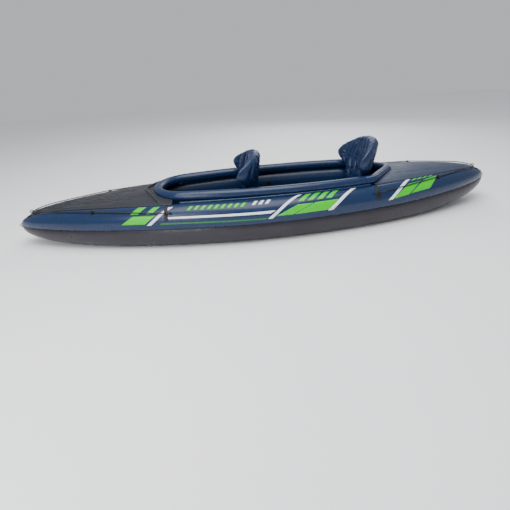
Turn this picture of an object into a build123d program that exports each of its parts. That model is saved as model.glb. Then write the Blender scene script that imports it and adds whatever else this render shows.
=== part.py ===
"""Two-seat inflatable kayak: stacked air chambers, coaming, floor, decks, seats, valves and grab lines.

Frame: +X towards the bow, +Y to port, +Z up.  The origin is on the ground under the middle.
All sizes are in millimetres.
"""

from build123d import *
from math import asin, atan2, cos, degrees, hypot, pi, radians, sin, sqrt, tan
import os

# ---------------------------------------------------------------- overall sizes
HULL_LENGTH = 3780.0        # nose to nose over the air chambers
BEAM = 930.0                # over the widest point of the upper chambers
CLEARANCE = 0.3             # between neighbouring pieces

# plan shape: half_beam = BEAM/2 * (1 - share ** power) ** fullness
MIDSHIP_FLAT = 100.0        # half length of the parallel middle
BOW_POWER, BOW_FULLNESS = 1.55, 0.655
STERN_POWER, STERN_FULLNESS = 1.72, 0.63

# side view: heights in the middle and at the two noses
SEAM_HEIGHT, BOW_SEAM_HEIGHT, STERN_SEAM_HEIGHT = 152.0, 146.0, 200.0
CREST_HEIGHT, BOW_CREST_HEIGHT, STERN_CREST_HEIGHT = 308.0, 256.0, 312.0
BOW_ROCKER, STERN_ROCKER = 48.0, 88.0
ROCKER_START = 1080.0       # the bottom is flat between -this and +this
SHEER_START = 500.0         # seam and crest are level between -this and +this
NOSE_BLUNTNESS = 14

# ---------------------------------------------------------------- air chambers
UPPER_HALF_WIDTH = 96.0
LOWER_HALF_WIDTH = 90.0
LOWER_INSET = 5.0           # the lower chamber's side lies this far inboard of the upper one's
WEB_DROP = 0.45             # an air tube's middle lies this share of its height radius off its web
NOSE_BLEND = 6              # how sharply the tubes narrow where they meet at a nose
STATIONS_PER_END = 11
STATION_REACH = 0.975

# ---------------------------------------------------------------- coaming
COAMING_RADIUS = 37.0
COAMING_INSET = 155.0       # centre line inboard of the hull's side amidships
COAMING_WIDEST_X = -150.0
FRONT_ARCH_X = 842.0
FRONT_ARCH_RADIUS = 240.0
REAR_CORNER_X = -740.0
REAR_CORNER_RADIUS = 120.0
REAR_APEX_X = -1035.0
REAR_APEX_RADIUS = 60.0

# ---------------------------------------------------------------- skin and floor
SKIN_THICKNESS = 2.0
SKIN_END_X = 1700.0
SKIN_STATIONS_PER_END = 8
FLOOR_TUBES = 7
FLOOR_TUBE_PITCH = 81.0
FLOOR_THICKNESS = 72.0
FLOOR_WELD_DEPTH = 14.0     # depth of the valley between two floor tubes
FLOOR_FRONT_X, FLOOR_REAR_X = 1010.0, -1020.0

# ---------------------------------------------------------------- decks
DECK_THICKNESS = 4.0
DECK_EDGE_SETBACK = 1.0     # deck edge inboard of the chamber's crest
DECK_LIFT = 0.9             # deck edge above the chamber's crest
BOW_DECK_CROWN, BOW_TIP_CROWN = 42.0, 6.0
STERN_DECK_CROWN, STERN_TIP_CROWN = 34.0, 6.0
BOW_DECK_START, STERN_DECK_START = 715.0, -790.0
DECK_STATIONS = 8
RIDGE_RADIUS = 9.0
RIDGE_APEX_X, RIDGE_END_X = 935.0, 812.0
RIDGE_END_SETBACK = 20.0
RIDGE_APEX_BEND = 45.0

# ---------------------------------------------------------------- seats
CUSHION_LENGTH = 400.0
CUSHION_RIBS = 5
CUSHION_RIB_PITCH = 90.0
CUSHION_THICKNESS = 84.0
CUSHION_CORNER = 60.0
FRONT_SEAT_X, REAR_SEAT_X = 175.0, -715.0      # rear edges of the two cushions
STRIP_WIDTH, STRIP_THICKNESS = 24.0, 1.5
STRIP_TRAVEL = 110.0        # the floor's loop strips are this much longer than the cushion's hooks
HOOK_LENGTH = 300.0
BACKREST_THICKNESS = 84.0
BACKREST_EDGE = 38.0
BACKREST_SAGITTA = 130.0
BACKREST_HALF_WIDTH = 262.0
BACKREST_FOOT_HALF_WIDTH = 38.0
HIP_HALF_WIDTH, HIP_HEIGHT = 148.0, 48.0       # the foot slopes up so that folding clears the cushion
WAIST_HALF_WIDTH, WAIST_HEIGHT = 190.0, 190.0  # narrow enough to pass between the sides of the coaming
WING_HEIGHT, SHOULDER_HEIGHT = 240.0, 290.0
FRONT_BACKREST_HEIGHT, REAR_BACKREST_HEIGHT = 425.0, 478.0
FRONT_RECLINE, REAR_RECLINE = 8.0, 15.0

# ---------------------------------------------------------------- valves
VALVE_FLANGE_RADIUS, VALVE_FLANGE = 24.0, 3.0
VALVE_NECK_RADIUS, VALVE_NECK = 14.0, 8.0
VALVE_BORE_RADIUS = 9.0
CAP_WALL, CAP_TOP = 4.0, 3.5
CAP_GRIPS, CAP_GRIP_RADIUS = 12, 1.6
CAP_BAR_LENGTH, CAP_BAR_WIDTH, CAP_BAR_HEIGHT = 28.0, 5.0, 4.0
STEM_FLANGE_RADIUS, STEM_FLANGE = 14.0, 1.5
STEM_RADIUS, STEM_LENGTH, STEM_BORE_RADIUS = 7.5, 6.0, 4.9
PLUG_RADIUS, PLUG_HEAD, PLUG_PIN_LENGTH = 9.0, 3.0, 5.0
STARBOARD_VALVE_X, PORT_VALVE_X = -60.0, -690.0
COAMING_VALVE_X, COAMING_VALVE_DROP = 300.0, 25.0
FLOOR_VALVE_X = 935.0

# ---------------------------------------------------------------- grab lines and their fittings
ROPE_RADIUS = 4.0
ROPE_LIFT = 8.0             # rope centre above the chamber
RING_RADIUS, RING_WIRE = 11.0, 2.5
STRAP_THICKNESS, STRAP_WIDTH = 1.5, 26.0
STRAP_LOW_ANGLE, STRAP_HIGH_ANGLE = 12.0, 84.0
RING_ANGLE = 40.0
KEEPER_LENGTH, KEEPER_WIDTH, KEEPER_HEIGHT = 14.0, 18.0, 7.0
FRONT_RING_X, REAR_RING_X = 752.0, -780.0
KNOT_RADIUS = 10.5
GUIDE_ANGLE = 62.0
GUIDE_DISC_RADIUS, GUIDE_DISC = 17.0, 2.0
GUIDE_RADIUS, GUIDE_WIRE = 9.0, 2.5
BOW_GUIDE_X, STERN_GUIDE_X = 1280.0, -1330.0
TIP_X = 1790.0
TIP_PLATE_LENGTH, TIP_PLATE_MARGIN, TIP_PLATE = 40.0, 14.0, 3.0
TIP_RING_RADIUS, TIP_RING_WIRE = 12.5, 3.0
TAB_THICKNESS, TAB_HEIGHT, TAB_ROOT = 3.0, 62.0, 34.0
TAB_EYE_RADIUS = 11.0
TAB_REACH = 20.0            # how far a tow tab stands out of its nose
GROMMET_BORE, GROMMET_TUBE, GROMMET_FLANGE, GROMMET_LIP = 4.5, 5.5, 8.5, 1.0

# ---------------------------------------------------------------- worked out from the sizes above
HALF_LENGTH = HULL_LENGTH / 2
CENTRE_GAP = TAB_THICKNESS / 2 + CLEARANCE
FLOOR_BASE = SKIN_THICKNESS + 2 * CLEARANCE
FLOOR_TOP = FLOOR_BASE + FLOOR_THICKNESS
CUSHION_BASE = FLOOR_TOP + 3 * CLEARANCE + 2 * STRIP_THICKNESS
CUSHION_TOP = CUSHION_BASE + CUSHION_THICKNESS
CUSHION_WIDTH = CUSHION_RIBS * CUSHION_RIB_PITCH
STRIP_Y = 2 * FLOOR_TUBE_PITCH

os.makedirs("parts", exist_ok=True)


# ================================================================ hull formulas
def share(x, start):
    """How far x lies from the middle part towards its nose, from 0 to 1."""
    return max(0.0, (abs(x) - start) / (HALF_LENGTH - start))


def half_beam(x):
    power, fullness = (BOW_POWER, BOW_FULLNESS) if x > 0 else (STERN_POWER, STERN_FULLNESS)
    return BEAM / 2 * (1 - share(x, MIDSHIP_FLAT) ** power) ** fullness


def towards_nose(x, middle, bow, stern, start, power):
    nose = bow if x > 0 else stern
    return middle + (nose - middle) * share(x, start) ** power


def nose_roundness(x):
    return sqrt(1 - share(x, 0) ** NOSE_BLUNTNESS)


def seam_height(x):
    return towards_nose(x, SEAM_HEIGHT, BOW_SEAM_HEIGHT, STERN_SEAM_HEIGHT, SHEER_START, 2.0)


def crest_height(x):
    full = towards_nose(x, CREST_HEIGHT, BOW_CREST_HEIGHT, STERN_CREST_HEIGHT, SHEER_START, 1.6)
    return seam_height(x) + (full - seam_height(x)) * nose_roundness(x)


def keel_height(x):
    full = towards_nose(x, 0.0, BOW_ROCKER, STERN_ROCKER, ROCKER_START, 1.6)
    return seam_height(x) - (seam_height(x) - full) * nose_roundness(x)


def tube_half_width(x, full, inset):
    """Half width of a side tube: full amidships, half of what is left near a nose."""
    room = (half_beam(x) - inset - CENTRE_GAP) / 2
    return full * room / (room ** NOSE_BLEND + full ** NOSE_BLEND) ** (1 / NOSE_BLEND)


def upper_tube(x):
    """Centre y, centre z, half width and half height of the port upper chamber at x."""
    half_width = tube_half_width(x, UPPER_HALF_WIDTH, 0.0)
    half_height = (crest_height(x) - seam_height(x)) / (1 + WEB_DROP)
    return half_beam(x) - half_width, crest_height(x) - half_height, half_width, half_height


def lower_tube(x):
    """The same for the port lower chamber."""
    inset = LOWER_INSET * half_beam(x) / (BEAM / 2)
    half_width = tube_half_width(x, LOWER_HALF_WIDTH, inset)
    half_height = (seam_height(x) - keel_height(x)) / (1 + WEB_DROP)
    return half_beam(x) - inset - half_width, keel_height(x) + half_height, half_width, half_height


def chamber_point(x, angle, lift):
    """A point at the given height above the port upper chamber, angle measured up from outboard."""
    y, z, half_width, half_height = upper_tube(x)
    return Vector(
        x, y + (half_width + lift) * cos(radians(angle)), z + (half_height + lift) * sin(radians(angle))
    )


def chamber_plane(x, angle, lift):
    """A plane on the port upper chamber: its z points away from the chamber, its x along the hull."""
    half_width, half_height = upper_tube(x)[2:]
    along = chamber_point(x + 1, angle, lift) - chamber_point(x - 1, angle, lift)
    across = Vector(0, -half_width * sin(radians(angle)), half_height * cos(radians(angle)))
    return Plane(origin=chamber_point(x, angle, lift), x_dir=along, z_dir=across.cross(along))


def section_plane(x):
    """A plane across the hull, with +Y to its right and +Z up."""
    return Plane(origin=(x, 0, 0), x_dir=(0, 1, 0), z_dir=(1, 0, 0))


def stations():
    steps = range(-STATIONS_PER_END, STATIONS_PER_END + 1)
    return [HALF_LENGTH * sin(pi / 2 * STATION_REACH * step / STATIONS_PER_END) for step in steps]


def tube_arc(tube, first_angle, last_angle, lift=0.0):
    """The arc of a tube's section between two angles, to be drawn on a section plane."""
    y, z, half_width, half_height = tube
    span = last_angle - first_angle
    points = [
        (
            y + (half_width + lift) * cos(radians(first_angle + span * step / 12)),
            z + (half_height + lift) * sin(radians(first_angle + span * step / 12)),
        )
        for step in range(13)
    ]
    return Spline(*points)


# ================================================================ side chambers
WEB_ANGLE = degrees(asin(WEB_DROP))

with BuildPart() as port_upper_chamber:
    for x in stations():
        with BuildSketch(section_plane(x)):
            with BuildLine():
                crown = tube_arc(upper_tube(x), -WEB_ANGLE, 180 + WEB_ANGLE)
                Line(crown @ 1, crown @ 0)
            make_face()
    loft()

with BuildPart() as port_lower_chamber:
    for x in stations():
        with BuildSketch(section_plane(x)):
            with BuildLine():
                y, z, half_width, half_height = lower_tube(x)
                belly = tube_arc(
                    (y, z, half_width, half_height - CLEARANCE / 2), WEB_ANGLE, -180 - WEB_ANGLE
                )
                Line(belly @ 1, belly @ 0)
            make_face()
    loft()

for port, name in ((port_upper_chamber, "upper_chamber"), (port_lower_chamber, "lower_chamber")):
    with BuildPart() as starboard:
        mirror(port.part, about=Plane.XZ)
    port.part.label = f"port_{name}"
    starboard.part.label = f"starboard_{name}"
    export_step(port.part, f"parts/port_{name}.step")
    export_step(starboard.part, f"parts/starboard_{name}.step")

# ================================================================ coaming


def coaming_plan():
    """Centres and tangent points of the coaming's plan arcs, for the port half of its centre line."""
    widest = half_beam(COAMING_WIDEST_X) - COAMING_INSET
    run = FRONT_ARCH_X - FRONT_ARCH_RADIUS - COAMING_WIDEST_X
    side_radius = (run**2 + widest**2 - FRONT_ARCH_RADIUS**2) / (2 * (widest - FRONT_ARCH_RADIUS))
    side_centre = Vector(COAMING_WIDEST_X, widest - side_radius)
    front_centre = Vector(FRONT_ARCH_X - FRONT_ARCH_RADIUS, 0)
    front_tangent = front_centre + (front_centre - side_centre).normalized() * FRONT_ARCH_RADIUS
    corner = Vector(
        REAR_CORNER_X,
        side_centre.Y + sqrt(side_radius**2 - (REAR_CORNER_X - COAMING_WIDEST_X) ** 2),
    )
    corner_centre = side_centre + (corner - side_centre).normalized() * (side_radius - REAR_CORNER_RADIUS)
    apex = Vector(REAR_APEX_X, 0)
    reach = (corner_centre - apex).length
    slope = atan2(corner_centre.Y, corner_centre.X - REAR_APEX_X) + asin(REAR_CORNER_RADIUS / reach)
    corner_end = corner_centre + Vector(-sin(slope), cos(slope)) * REAR_CORNER_RADIUS
    apex_start = apex + Vector(cos(slope), sin(slope)) * (REAR_APEX_RADIUS / tan(slope))
    apex_turn = apex + Vector(REAR_APEX_RADIUS / sin(slope) - REAR_APEX_RADIUS, 0)
    apex_middle = Vector(apex_turn.X + REAR_APEX_RADIUS, 0) + (
        Vector(-sin(slope / 2 + pi / 4), cos(slope / 2 + pi / 4)) * REAR_APEX_RADIUS
    )
    return side_centre, side_radius, front_centre, front_tangent, corner_centre, corner, corner_end, (
        apex_start, apex_middle, apex_turn
    )


def arc_middle(centre, start, end):
    return centre + ((start - centre) + (end - centre)).normalized() * (start - centre).length


def draw_coaming_half():
    """The port half of the coaming's centre line, from the front arch to the rear apex."""
    side_centre, side_radius, front_centre, front, corner_centre, corner, corner_end, apex = coaming_plan()
    nose = Vector(FRONT_ARCH_X, 0)
    ThreePointArc(nose, arc_middle(front_centre, nose, front), front)
    ThreePointArc(front, arc_middle(side_centre, front, corner), corner)
    ThreePointArc(corner, arc_middle(corner_centre, corner, corner_end), corner_end)
    Line(corner_end, apex[0])
    ThreePointArc(*apex)


def coaming_half_width(x):
    """Distance of the coaming's centre line from the middle plane, along its side arc."""
    side_centre, side_radius = coaming_plan()[:2]
    return side_centre.Y + sqrt(side_radius**2 - (x - side_centre.X) ** 2)


def coaming_height():
    """Height of the centre line at which the coaming just clears the upper chambers."""
    reach = COAMING_RADIUS + CLEARANCE
    front = coaming_plan()[3].X
    height = 0.0
    for step in range(40):
        x = REAR_CORNER_X + (front - REAR_CORNER_X) * step / 39
        middle, half_width = coaming_half_width(x), upper_tube(x)[2]
        for angle in range(20, 175, 3):
            point = chamber_point(x, angle, 0.0)
            if abs(point.Y - middle) < reach:
                height = max(height, point.Z + sqrt(reach**2 - (point.Y - middle) ** 2))
    return height


COAMING_HEIGHT = coaming_height() + 0.5
COAMING_TOP = COAMING_HEIGHT + COAMING_RADIUS

with BuildPart() as cockpit_coaming:
    with BuildLine(Plane.XY.offset(COAMING_HEIGHT)) as coaming_line:
        draw_coaming_half()
    with BuildSketch(Plane(origin=(FRONT_ARCH_X, 0, COAMING_HEIGHT), x_dir=(1, 0, 0), z_dir=(0, 1, 0))):
        Circle(COAMING_RADIUS)
    sweep(path=coaming_line.wires()[0])
    mirror(about=Plane.XZ)
cockpit_coaming.part.label = "cockpit_coaming"
export_step(cockpit_coaming.part, "parts/cockpit_coaming.step")

# the ground that the coaming covers, with its clearance: the decks stop at it
with BuildSketch(Plane.XY.offset(seam_height(0))) as coaming_ground:
    with BuildLine():
        draw_coaming_half()
        mirror(about=Plane.XZ)
    make_face()
    offset(amount=COAMING_RADIUS + CLEARANCE)

# ================================================================ bottom skin and floor


def skin_half_width(x):
    """Where the skin's top edge just clears the lower chamber beside it."""
    y, z, half_width, half_height = lower_tube(x)
    rise = (SKIN_THICKNESS + CLEARANCE) / half_height
    return y - half_width * sqrt(1 - (1 - rise) ** 2) - 2 * CLEARANCE


def skin_end_station(sign, step):
    """The x of a section of the skin's rising end; the first one is the end of its flat middle."""
    return sign * (ROCKER_START + (SKIN_END_X - ROCKER_START) * sin(pi / 2 * step / SKIN_STATIONS_PER_END))


with BuildPart() as bottom_skin:
    with BuildSketch(Plane.XY):
        with BuildLine():
            skin_steps = [ROCKER_START * step / 8 for step in range(-8, 9)]
            port_edge = Spline(*[(x, skin_half_width(x)) for x in skin_steps])
            starboard_edge = Spline(*[(x, -skin_half_width(x)) for x in skin_steps])
            Line(port_edge @ 0, starboard_edge @ 0)
            Line(port_edge @ 1, starboard_edge @ 1)
        make_face()
    extrude(amount=SKIN_THICKNESS)
    for sign in (-1, 1):
        for step in range(SKIN_STATIONS_PER_END + 1):
            x = skin_end_station(sign, step)
            with BuildSketch(section_plane(x)):
                with Locations((0, keel_height(x) if step else 0)):
                    Rectangle(2 * skin_half_width(x), SKIN_THICKNESS, align=(Align.CENTER, Align.MIN))
        loft()
bottom_skin.part.label = "bottom_skin"
export_step(bottom_skin.part, "parts/bottom_skin.step")


def floor_half_width(x):
    """The floor reaches out to the lower chambers."""
    y, z, half_width, half_height = lower_tube(x)
    return y - half_width - CLEARANCE


with BuildPart() as floor_mat:
    with BuildSketch(Plane.YZ.offset(FLOOR_REAR_X)):
        with Locations((0, FLOOR_BASE + FLOOR_THICKNESS / 2)):
            Rectangle(FLOOR_TUBES * FLOOR_TUBE_PITCH, FLOOR_THICKNESS - 2 * FLOOR_WELD_DEPTH)
            with GridLocations(FLOOR_TUBE_PITCH, 0, FLOOR_TUBES, 1):
                Ellipse(FLOOR_TUBE_PITCH / 2 + 3, FLOOR_THICKNESS / 2)
    extrude(amount=FLOOR_FRONT_X - FLOOR_REAR_X)
    floor_steps = [FLOOR_REAR_X + (FLOOR_FRONT_X - FLOOR_REAR_X) * step / 8 for step in range(9)]
    with BuildSketch(Plane.XY):
        with BuildLine():
            port_edge = Spline(*[(x, floor_half_width(x)) for x in floor_steps])
            starboard_edge = Spline(*[(x, -floor_half_width(x)) for x in floor_steps])
            Line(port_edge @ 0, starboard_edge @ 0)
            Line(port_edge @ 1, starboard_edge @ 1)
        make_face()
    extrude(amount=FLOOR_TOP + FLOOR_BASE, mode=Mode.INTERSECT)
floor_mat.part.label = "floor_mat"
export_step(floor_mat.part, "parts/floor_mat.step")

# ================================================================ decks


def deck_half_width(x):
    return upper_tube(x)[0] - DECK_EDGE_SETBACK


def deck_crown(x):
    if x > 0:
        start, cockpit, tip = BOW_DECK_START, BOW_DECK_CROWN, BOW_TIP_CROWN
    else:
        start, cockpit, tip = STERN_DECK_START, STERN_DECK_CROWN, STERN_TIP_CROWN
    return cockpit + (tip - cockpit) * (x - start) / (deck_end(x) - start)


def deck_end(x):
    return (TIP_X - TIP_PLATE_LENGTH / 2 - 2 * CLEARANCE) * (1 if x > 0 else -1)


def deck_top(x, y):
    rise = deck_crown(x) * (1 - (y / deck_half_width(x)) ** 2)
    return crest_height(x) + DECK_LIFT + rise + DECK_THICKNESS


def deck_section(x):
    """Outline of the deck's section: two arcs over the crests, joined at the edges."""
    half_width, crown = deck_half_width(x), deck_crown(x)
    base = crest_height(x) + DECK_LIFT
    under = ThreePointArc((-half_width, base), (0, base + crown), (half_width, base))
    top = base + DECK_THICKNESS
    over = ThreePointArc((-half_width, top), (0, top + crown), (half_width, top))
    Line(under @ 0, over @ 0)
    Line(under @ 1, over @ 1)


for name, start in (("bow_deck", BOW_DECK_START), ("stern_deck", STERN_DECK_START)):
    with BuildPart() as deck:
        for step in range(DECK_STATIONS):
            x = start + (deck_end(start) - start) * sin(pi / 2 * step / (DECK_STATIONS - 1))
            with BuildSketch(section_plane(x)):
                with BuildLine():
                    deck_section(x)
                make_face()
        loft()
        extrude(coaming_ground.sketch, amount=BEAM, mode=Mode.SUBTRACT)
    deck.part.label = name
    export_step(deck.part, f"parts/{name}.step")

# the piped V-shaped fold that sheds water ahead of the cockpit
ridge_arm = [
    (RIDGE_APEX_X + (RIDGE_END_X - RIDGE_APEX_X) * part / 3, part / 3) for part in range(4)
]
ridge_end_y = deck_half_width(RIDGE_END_X) - RIDGE_END_SETBACK
ridge_points = [
    (x, side * part * ridge_end_y, deck_top(x, part * ridge_end_y) + RIDGE_RADIUS + 3 * CLEARANCE)
    for side, arm in ((-1, reversed(ridge_arm[1:])), (1, ridge_arm))
    for x, part in arm
]
ridge_run = hypot(RIDGE_APEX_X - RIDGE_END_X, ridge_end_y) / 3
with BuildPart() as bow_splash_ridge:
    with BuildLine() as ridge_line:
        arm_bends = [4 * ridge_run, 3 * ridge_run]
        FilletPolyline(*ridge_points, radius=[*arm_bends, RIDGE_APEX_BEND, *reversed(arm_bends)])
    with BuildSketch(Plane(origin=ridge_line.line @ 0, z_dir=ridge_line.line % 0)):
        Circle(RIDGE_RADIUS)
    sweep(path=ridge_line.wires()[0])
bow_splash_ridge.part.label = "bow_splash_ridge"
export_step(bow_splash_ridge.part, "parts/bow_splash_ridge.step")

# ================================================================ seats
RIB_RADIUS = CUSHION_RIB_PITCH / 2

for name, rear_x in (("front", FRONT_SEAT_X), ("rear", REAR_SEAT_X)):
    with BuildPart() as cushion:
        with BuildSketch(Plane.YZ.offset(rear_x)):
            with Locations((0, CUSHION_BASE)):
                Rectangle(
                    CUSHION_WIDTH - CUSHION_RIB_PITCH, CUSHION_THICKNESS / 2, align=(Align.CENTER, Align.MIN)
                )
            with Locations((0, CUSHION_BASE + CUSHION_THICKNESS / 2)):
                with GridLocations(CUSHION_RIB_PITCH, 0, CUSHION_RIBS, 1):
                    Ellipse(RIB_RADIUS + 0.5, CUSHION_THICKNESS / 2)
        extrude(amount=CUSHION_LENGTH)
        with BuildSketch(Plane.XY):
            with Locations((rear_x + CUSHION_LENGTH / 2, 0)):
                RectangleRounded(CUSHION_LENGTH, CUSHION_WIDTH, CUSHION_CORNER)
        extrude(amount=CUSHION_TOP, mode=Mode.INTERSECT)
    cushion.part.label = f"{name}_seat_cushion"
    export_step(cushion.part, f"parts/{name}_seat_cushion.step")

    middle_x = rear_x + CUSHION_LENGTH / 2
    loop_base = FLOOR_TOP + CLEARANCE
    with BuildPart() as loop_strips:
        with Locations((middle_x, 0, loop_base)):
            with GridLocations(0, 2 * STRIP_Y, 1, 2):
                Box(
                    HOOK_LENGTH + STRIP_TRAVEL, STRIP_WIDTH, STRIP_THICKNESS,
                    align=(Align.CENTER, Align.CENTER, Align.MIN),
                )
    loop_strips.part.label = f"{name}_seat_loop_strips"
    export_step(loop_strips.part, f"parts/{name}_seat_loop_strips.step")

    with BuildPart() as hook_strips:
        with Locations((middle_x, 0, loop_base + STRIP_THICKNESS + CLEARANCE)):
            with GridLocations(0, 2 * STRIP_Y, 1, 2):
                Box(
                    HOOK_LENGTH, STRIP_WIDTH, STRIP_THICKNESS,
                    align=(Align.CENTER, Align.CENTER, Align.MIN),
                )
    hook_strips.part.label = f"{name}_seat_hook_strips"
    export_step(hook_strips.part, f"parts/{name}_seat_hook_strips.step")


def backrest_up(recline):
    return Vector(-sin(radians(recline)), 0, cos(radians(recline)))


def backrest_hinge(rear_x):
    """The weld between cushion and backrest, about which the backrest folds."""
    return Vector(rear_x - CLEARANCE, 0, CUSHION_TOP)


for name, rear_x, height, recline in (
    ("front", FRONT_SEAT_X, FRONT_BACKREST_HEIGHT, FRONT_RECLINE),
    ("rear", REAR_SEAT_X, REAR_BACKREST_HEIGHT, REAR_RECLINE),
):
    up, hinge = backrest_up(recline), backrest_hinge(rear_x)
    forward = Vector(cos(radians(recline)), 0, sin(radians(recline)))
    with BuildPart() as backrest:
        with BuildSketch(Plane(origin=hinge, x_dir=(0, 1, 0), z_dir=up)):
            with BuildLine():
                tip = Vector(BACKREST_HALF_WIDTH, -BACKREST_SAGITTA)
                back_tip = tip + Vector(0, BACKREST_EDGE)
                face = ThreePointArc((-tip.X, tip.Y), (0, 0), (tip.X, tip.Y))
                back = ThreePointArc(
                    (-back_tip.X, back_tip.Y), (0, BACKREST_THICKNESS), (back_tip.X, back_tip.Y)
                )
                Line(face @ 0, back @ 0)
                Line(face @ 1, back @ 1)
            make_face()
        extrude(amount=height)
        with BuildSketch(Plane(origin=hinge, x_dir=(0, 1, 0), z_dir=forward)):
            with BuildLine():
                side = [
                    (BACKREST_FOOT_HALF_WIDTH, 0),
                    (HIP_HALF_WIDTH, HIP_HEIGHT),
                    (WAIST_HALF_WIDTH, WAIST_HEIGHT),
                    (BACKREST_HALF_WIDTH, WING_HEIGHT),
                    (BACKREST_HALF_WIDTH, SHOULDER_HEIGHT),
                ]
                Polyline(*side)
                Polyline(*[(-y, z) for y, z in side])
                Line((-BACKREST_FOOT_HALF_WIDTH, 0), (BACKREST_FOOT_HALF_WIDTH, 0))
                ThreePointArc(
                    (-BACKREST_HALF_WIDTH, SHOULDER_HEIGHT),
                    (0, height),
                    (BACKREST_HALF_WIDTH, SHOULDER_HEIGHT),
                )
            make_face()
        extrude(amount=BACKREST_HALF_WIDTH, both=True, mode=Mode.INTERSECT)
    backrest.part.label = f"{name}_backrest"
    export_step(backrest.part, f"parts/{name}_backrest.step")

# ================================================================ air valves


def to_starboard(vector):
    return Vector(vector.X, -vector.Y, vector.Z)


def starboard_plane(plane):
    """The same place and facing on the starboard side."""
    return Plane(
        origin=to_starboard(plane.origin),
        x_dir=to_starboard(plane.x_dir),
        z_dir=to_starboard(plane.z_dir),
    )


def coaming_valve_plane():
    """On the inside of the port coaming, a little below its middle."""
    tilt = radians(COAMING_VALVE_DROP)
    centre = Vector(COAMING_VALVE_X, coaming_half_width(COAMING_VALVE_X))
    inward = (coaming_plan()[0] - centre).normalized()
    facing = inward * cos(tilt) - Vector(0, 0, sin(tilt))
    origin = centre + Vector(0, 0, COAMING_HEIGHT) + facing * (COAMING_RADIUS + 2 * CLEARANCE)
    return Plane(origin=origin, x_dir=inward.cross(Vector(0, 0, 1)), z_dir=facing)


VALVES = {
    "port_valve": chamber_plane(PORT_VALVE_X, 180, 2 * CLEARANCE),
    "starboard_valve": starboard_plane(chamber_plane(STARBOARD_VALVE_X, 180, 2 * CLEARANCE)),
    "coaming_valve": coaming_valve_plane(),
    "floor_valve": Plane.XY.move(Location((FLOOR_VALVE_X, 0, FLOOR_TOP + CLEARANCE))),
}

for name, plane in VALVES.items():
    with BuildPart(plane) as valve:
        Cylinder(VALVE_FLANGE_RADIUS, VALVE_FLANGE, align=(Align.CENTER, Align.CENTER, Align.MIN))
        Cylinder(
            VALVE_NECK_RADIUS, VALVE_FLANGE + VALVE_NECK, align=(Align.CENTER, Align.CENTER, Align.MIN)
        )
        with BuildSketch(plane.offset(VALVE_FLANGE)):
            Circle(VALVE_BORE_RADIUS)
        extrude(amount=VALVE_NECK, mode=Mode.SUBTRACT)
    valve.part.label = name
    export_step(valve.part, f"parts/{name}.step")

    cap_bore = VALVE_NECK_RADIUS + CLEARANCE
    cap_radius = cap_bore + CAP_WALL
    cap_depth = VALVE_NECK + CAP_TOP
    cap_plane = plane.offset(VALVE_FLANGE + CLEARANCE)
    with BuildPart(cap_plane) as cap:
        with BuildSketch(cap_plane):
            Circle(cap_radius)
            with PolarLocations(cap_radius, CAP_GRIPS):
                Circle(CAP_GRIP_RADIUS, mode=Mode.SUBTRACT)
        extrude(amount=cap_depth)
        with BuildSketch(cap_plane):
            Circle(cap_bore)
        extrude(amount=VALVE_NECK, mode=Mode.SUBTRACT)
        with BuildSketch(cap_plane.offset(cap_depth)):
            Rectangle(CAP_BAR_LENGTH, CAP_BAR_WIDTH)
        extrude(amount=CAP_BAR_HEIGHT)
    cap.part.label = f"{name}_cap"
    export_step(cap.part, f"parts/{name}_cap.step")


def cushion_valve_plane(rear_x):
    """On the front edge of a cushion, at its middle rib."""
    front = rear_x + CUSHION_LENGTH + CLEARANCE
    return Plane(
        origin=(front, 0, CUSHION_BASE + CUSHION_THICKNESS / 2), x_dir=(0, 1, 0), z_dir=(1, 0, 0)
    )


def backrest_valve_plane(rear_x, recline):
    """Low on the back of a backrest, halfway up to its waist."""
    up = backrest_up(recline)
    back = Vector(-cos(radians(recline)), 0, -sin(radians(recline)))
    origin = backrest_hinge(rear_x) + up * (WAIST_HEIGHT / 2) + back * (BACKREST_THICKNESS + CLEARANCE)
    return Plane(origin=origin, x_dir=(0, 1, 0), z_dir=back)


SMALL_VALVES = {
    "front_cushion": cushion_valve_plane(FRONT_SEAT_X),
    "rear_cushion": cushion_valve_plane(REAR_SEAT_X),
    "front_backrest": backrest_valve_plane(FRONT_SEAT_X, FRONT_RECLINE),
    "rear_backrest": backrest_valve_plane(REAR_SEAT_X, REAR_RECLINE),
}

for name, plane in SMALL_VALVES.items():
    with BuildPart(plane) as stem:
        Cylinder(STEM_FLANGE_RADIUS, STEM_FLANGE, align=(Align.CENTER, Align.CENTER, Align.MIN))
        Cylinder(STEM_RADIUS, STEM_FLANGE + STEM_LENGTH, align=(Align.CENTER, Align.CENTER, Align.MIN))
        with BuildSketch(plane.offset(STEM_FLANGE)):
            Circle(STEM_BORE_RADIUS)
        extrude(amount=STEM_LENGTH, mode=Mode.SUBTRACT)
    stem.part.label = f"{name}_valve_stem"
    export_step(stem.part, f"parts/{name}_valve_stem.step")

    head_plane = plane.offset(STEM_FLANGE + STEM_LENGTH + CLEARANCE)
    with BuildPart(head_plane) as plug:
        Cylinder(PLUG_RADIUS, PLUG_HEAD, align=(Align.CENTER, Align.CENTER, Align.MIN))
        Cylinder(
            STEM_BORE_RADIUS - CLEARANCE, PLUG_PIN_LENGTH, align=(Align.CENTER, Align.CENTER, Align.MAX)
        )
    plug.part.label = f"{name}_valve_plug"
    export_step(plug.part, f"parts/{name}_valve_plug.step")

# ================================================================ fittings along the grab lines
RING_LIFT = STRAP_THICKNESS + 2 * CLEARANCE + RING_RADIUS + RING_WIRE
GUIDE_LIFT = GUIDE_DISC + 2 * CLEARANCE + GUIDE_RADIUS


def across_rope(plane):
    """A plane with its normal along the hull, where the given plane faces away from the chamber."""
    return Plane(origin=plane.origin, x_dir=plane.y_dir, z_dir=plane.x_dir)


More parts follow.
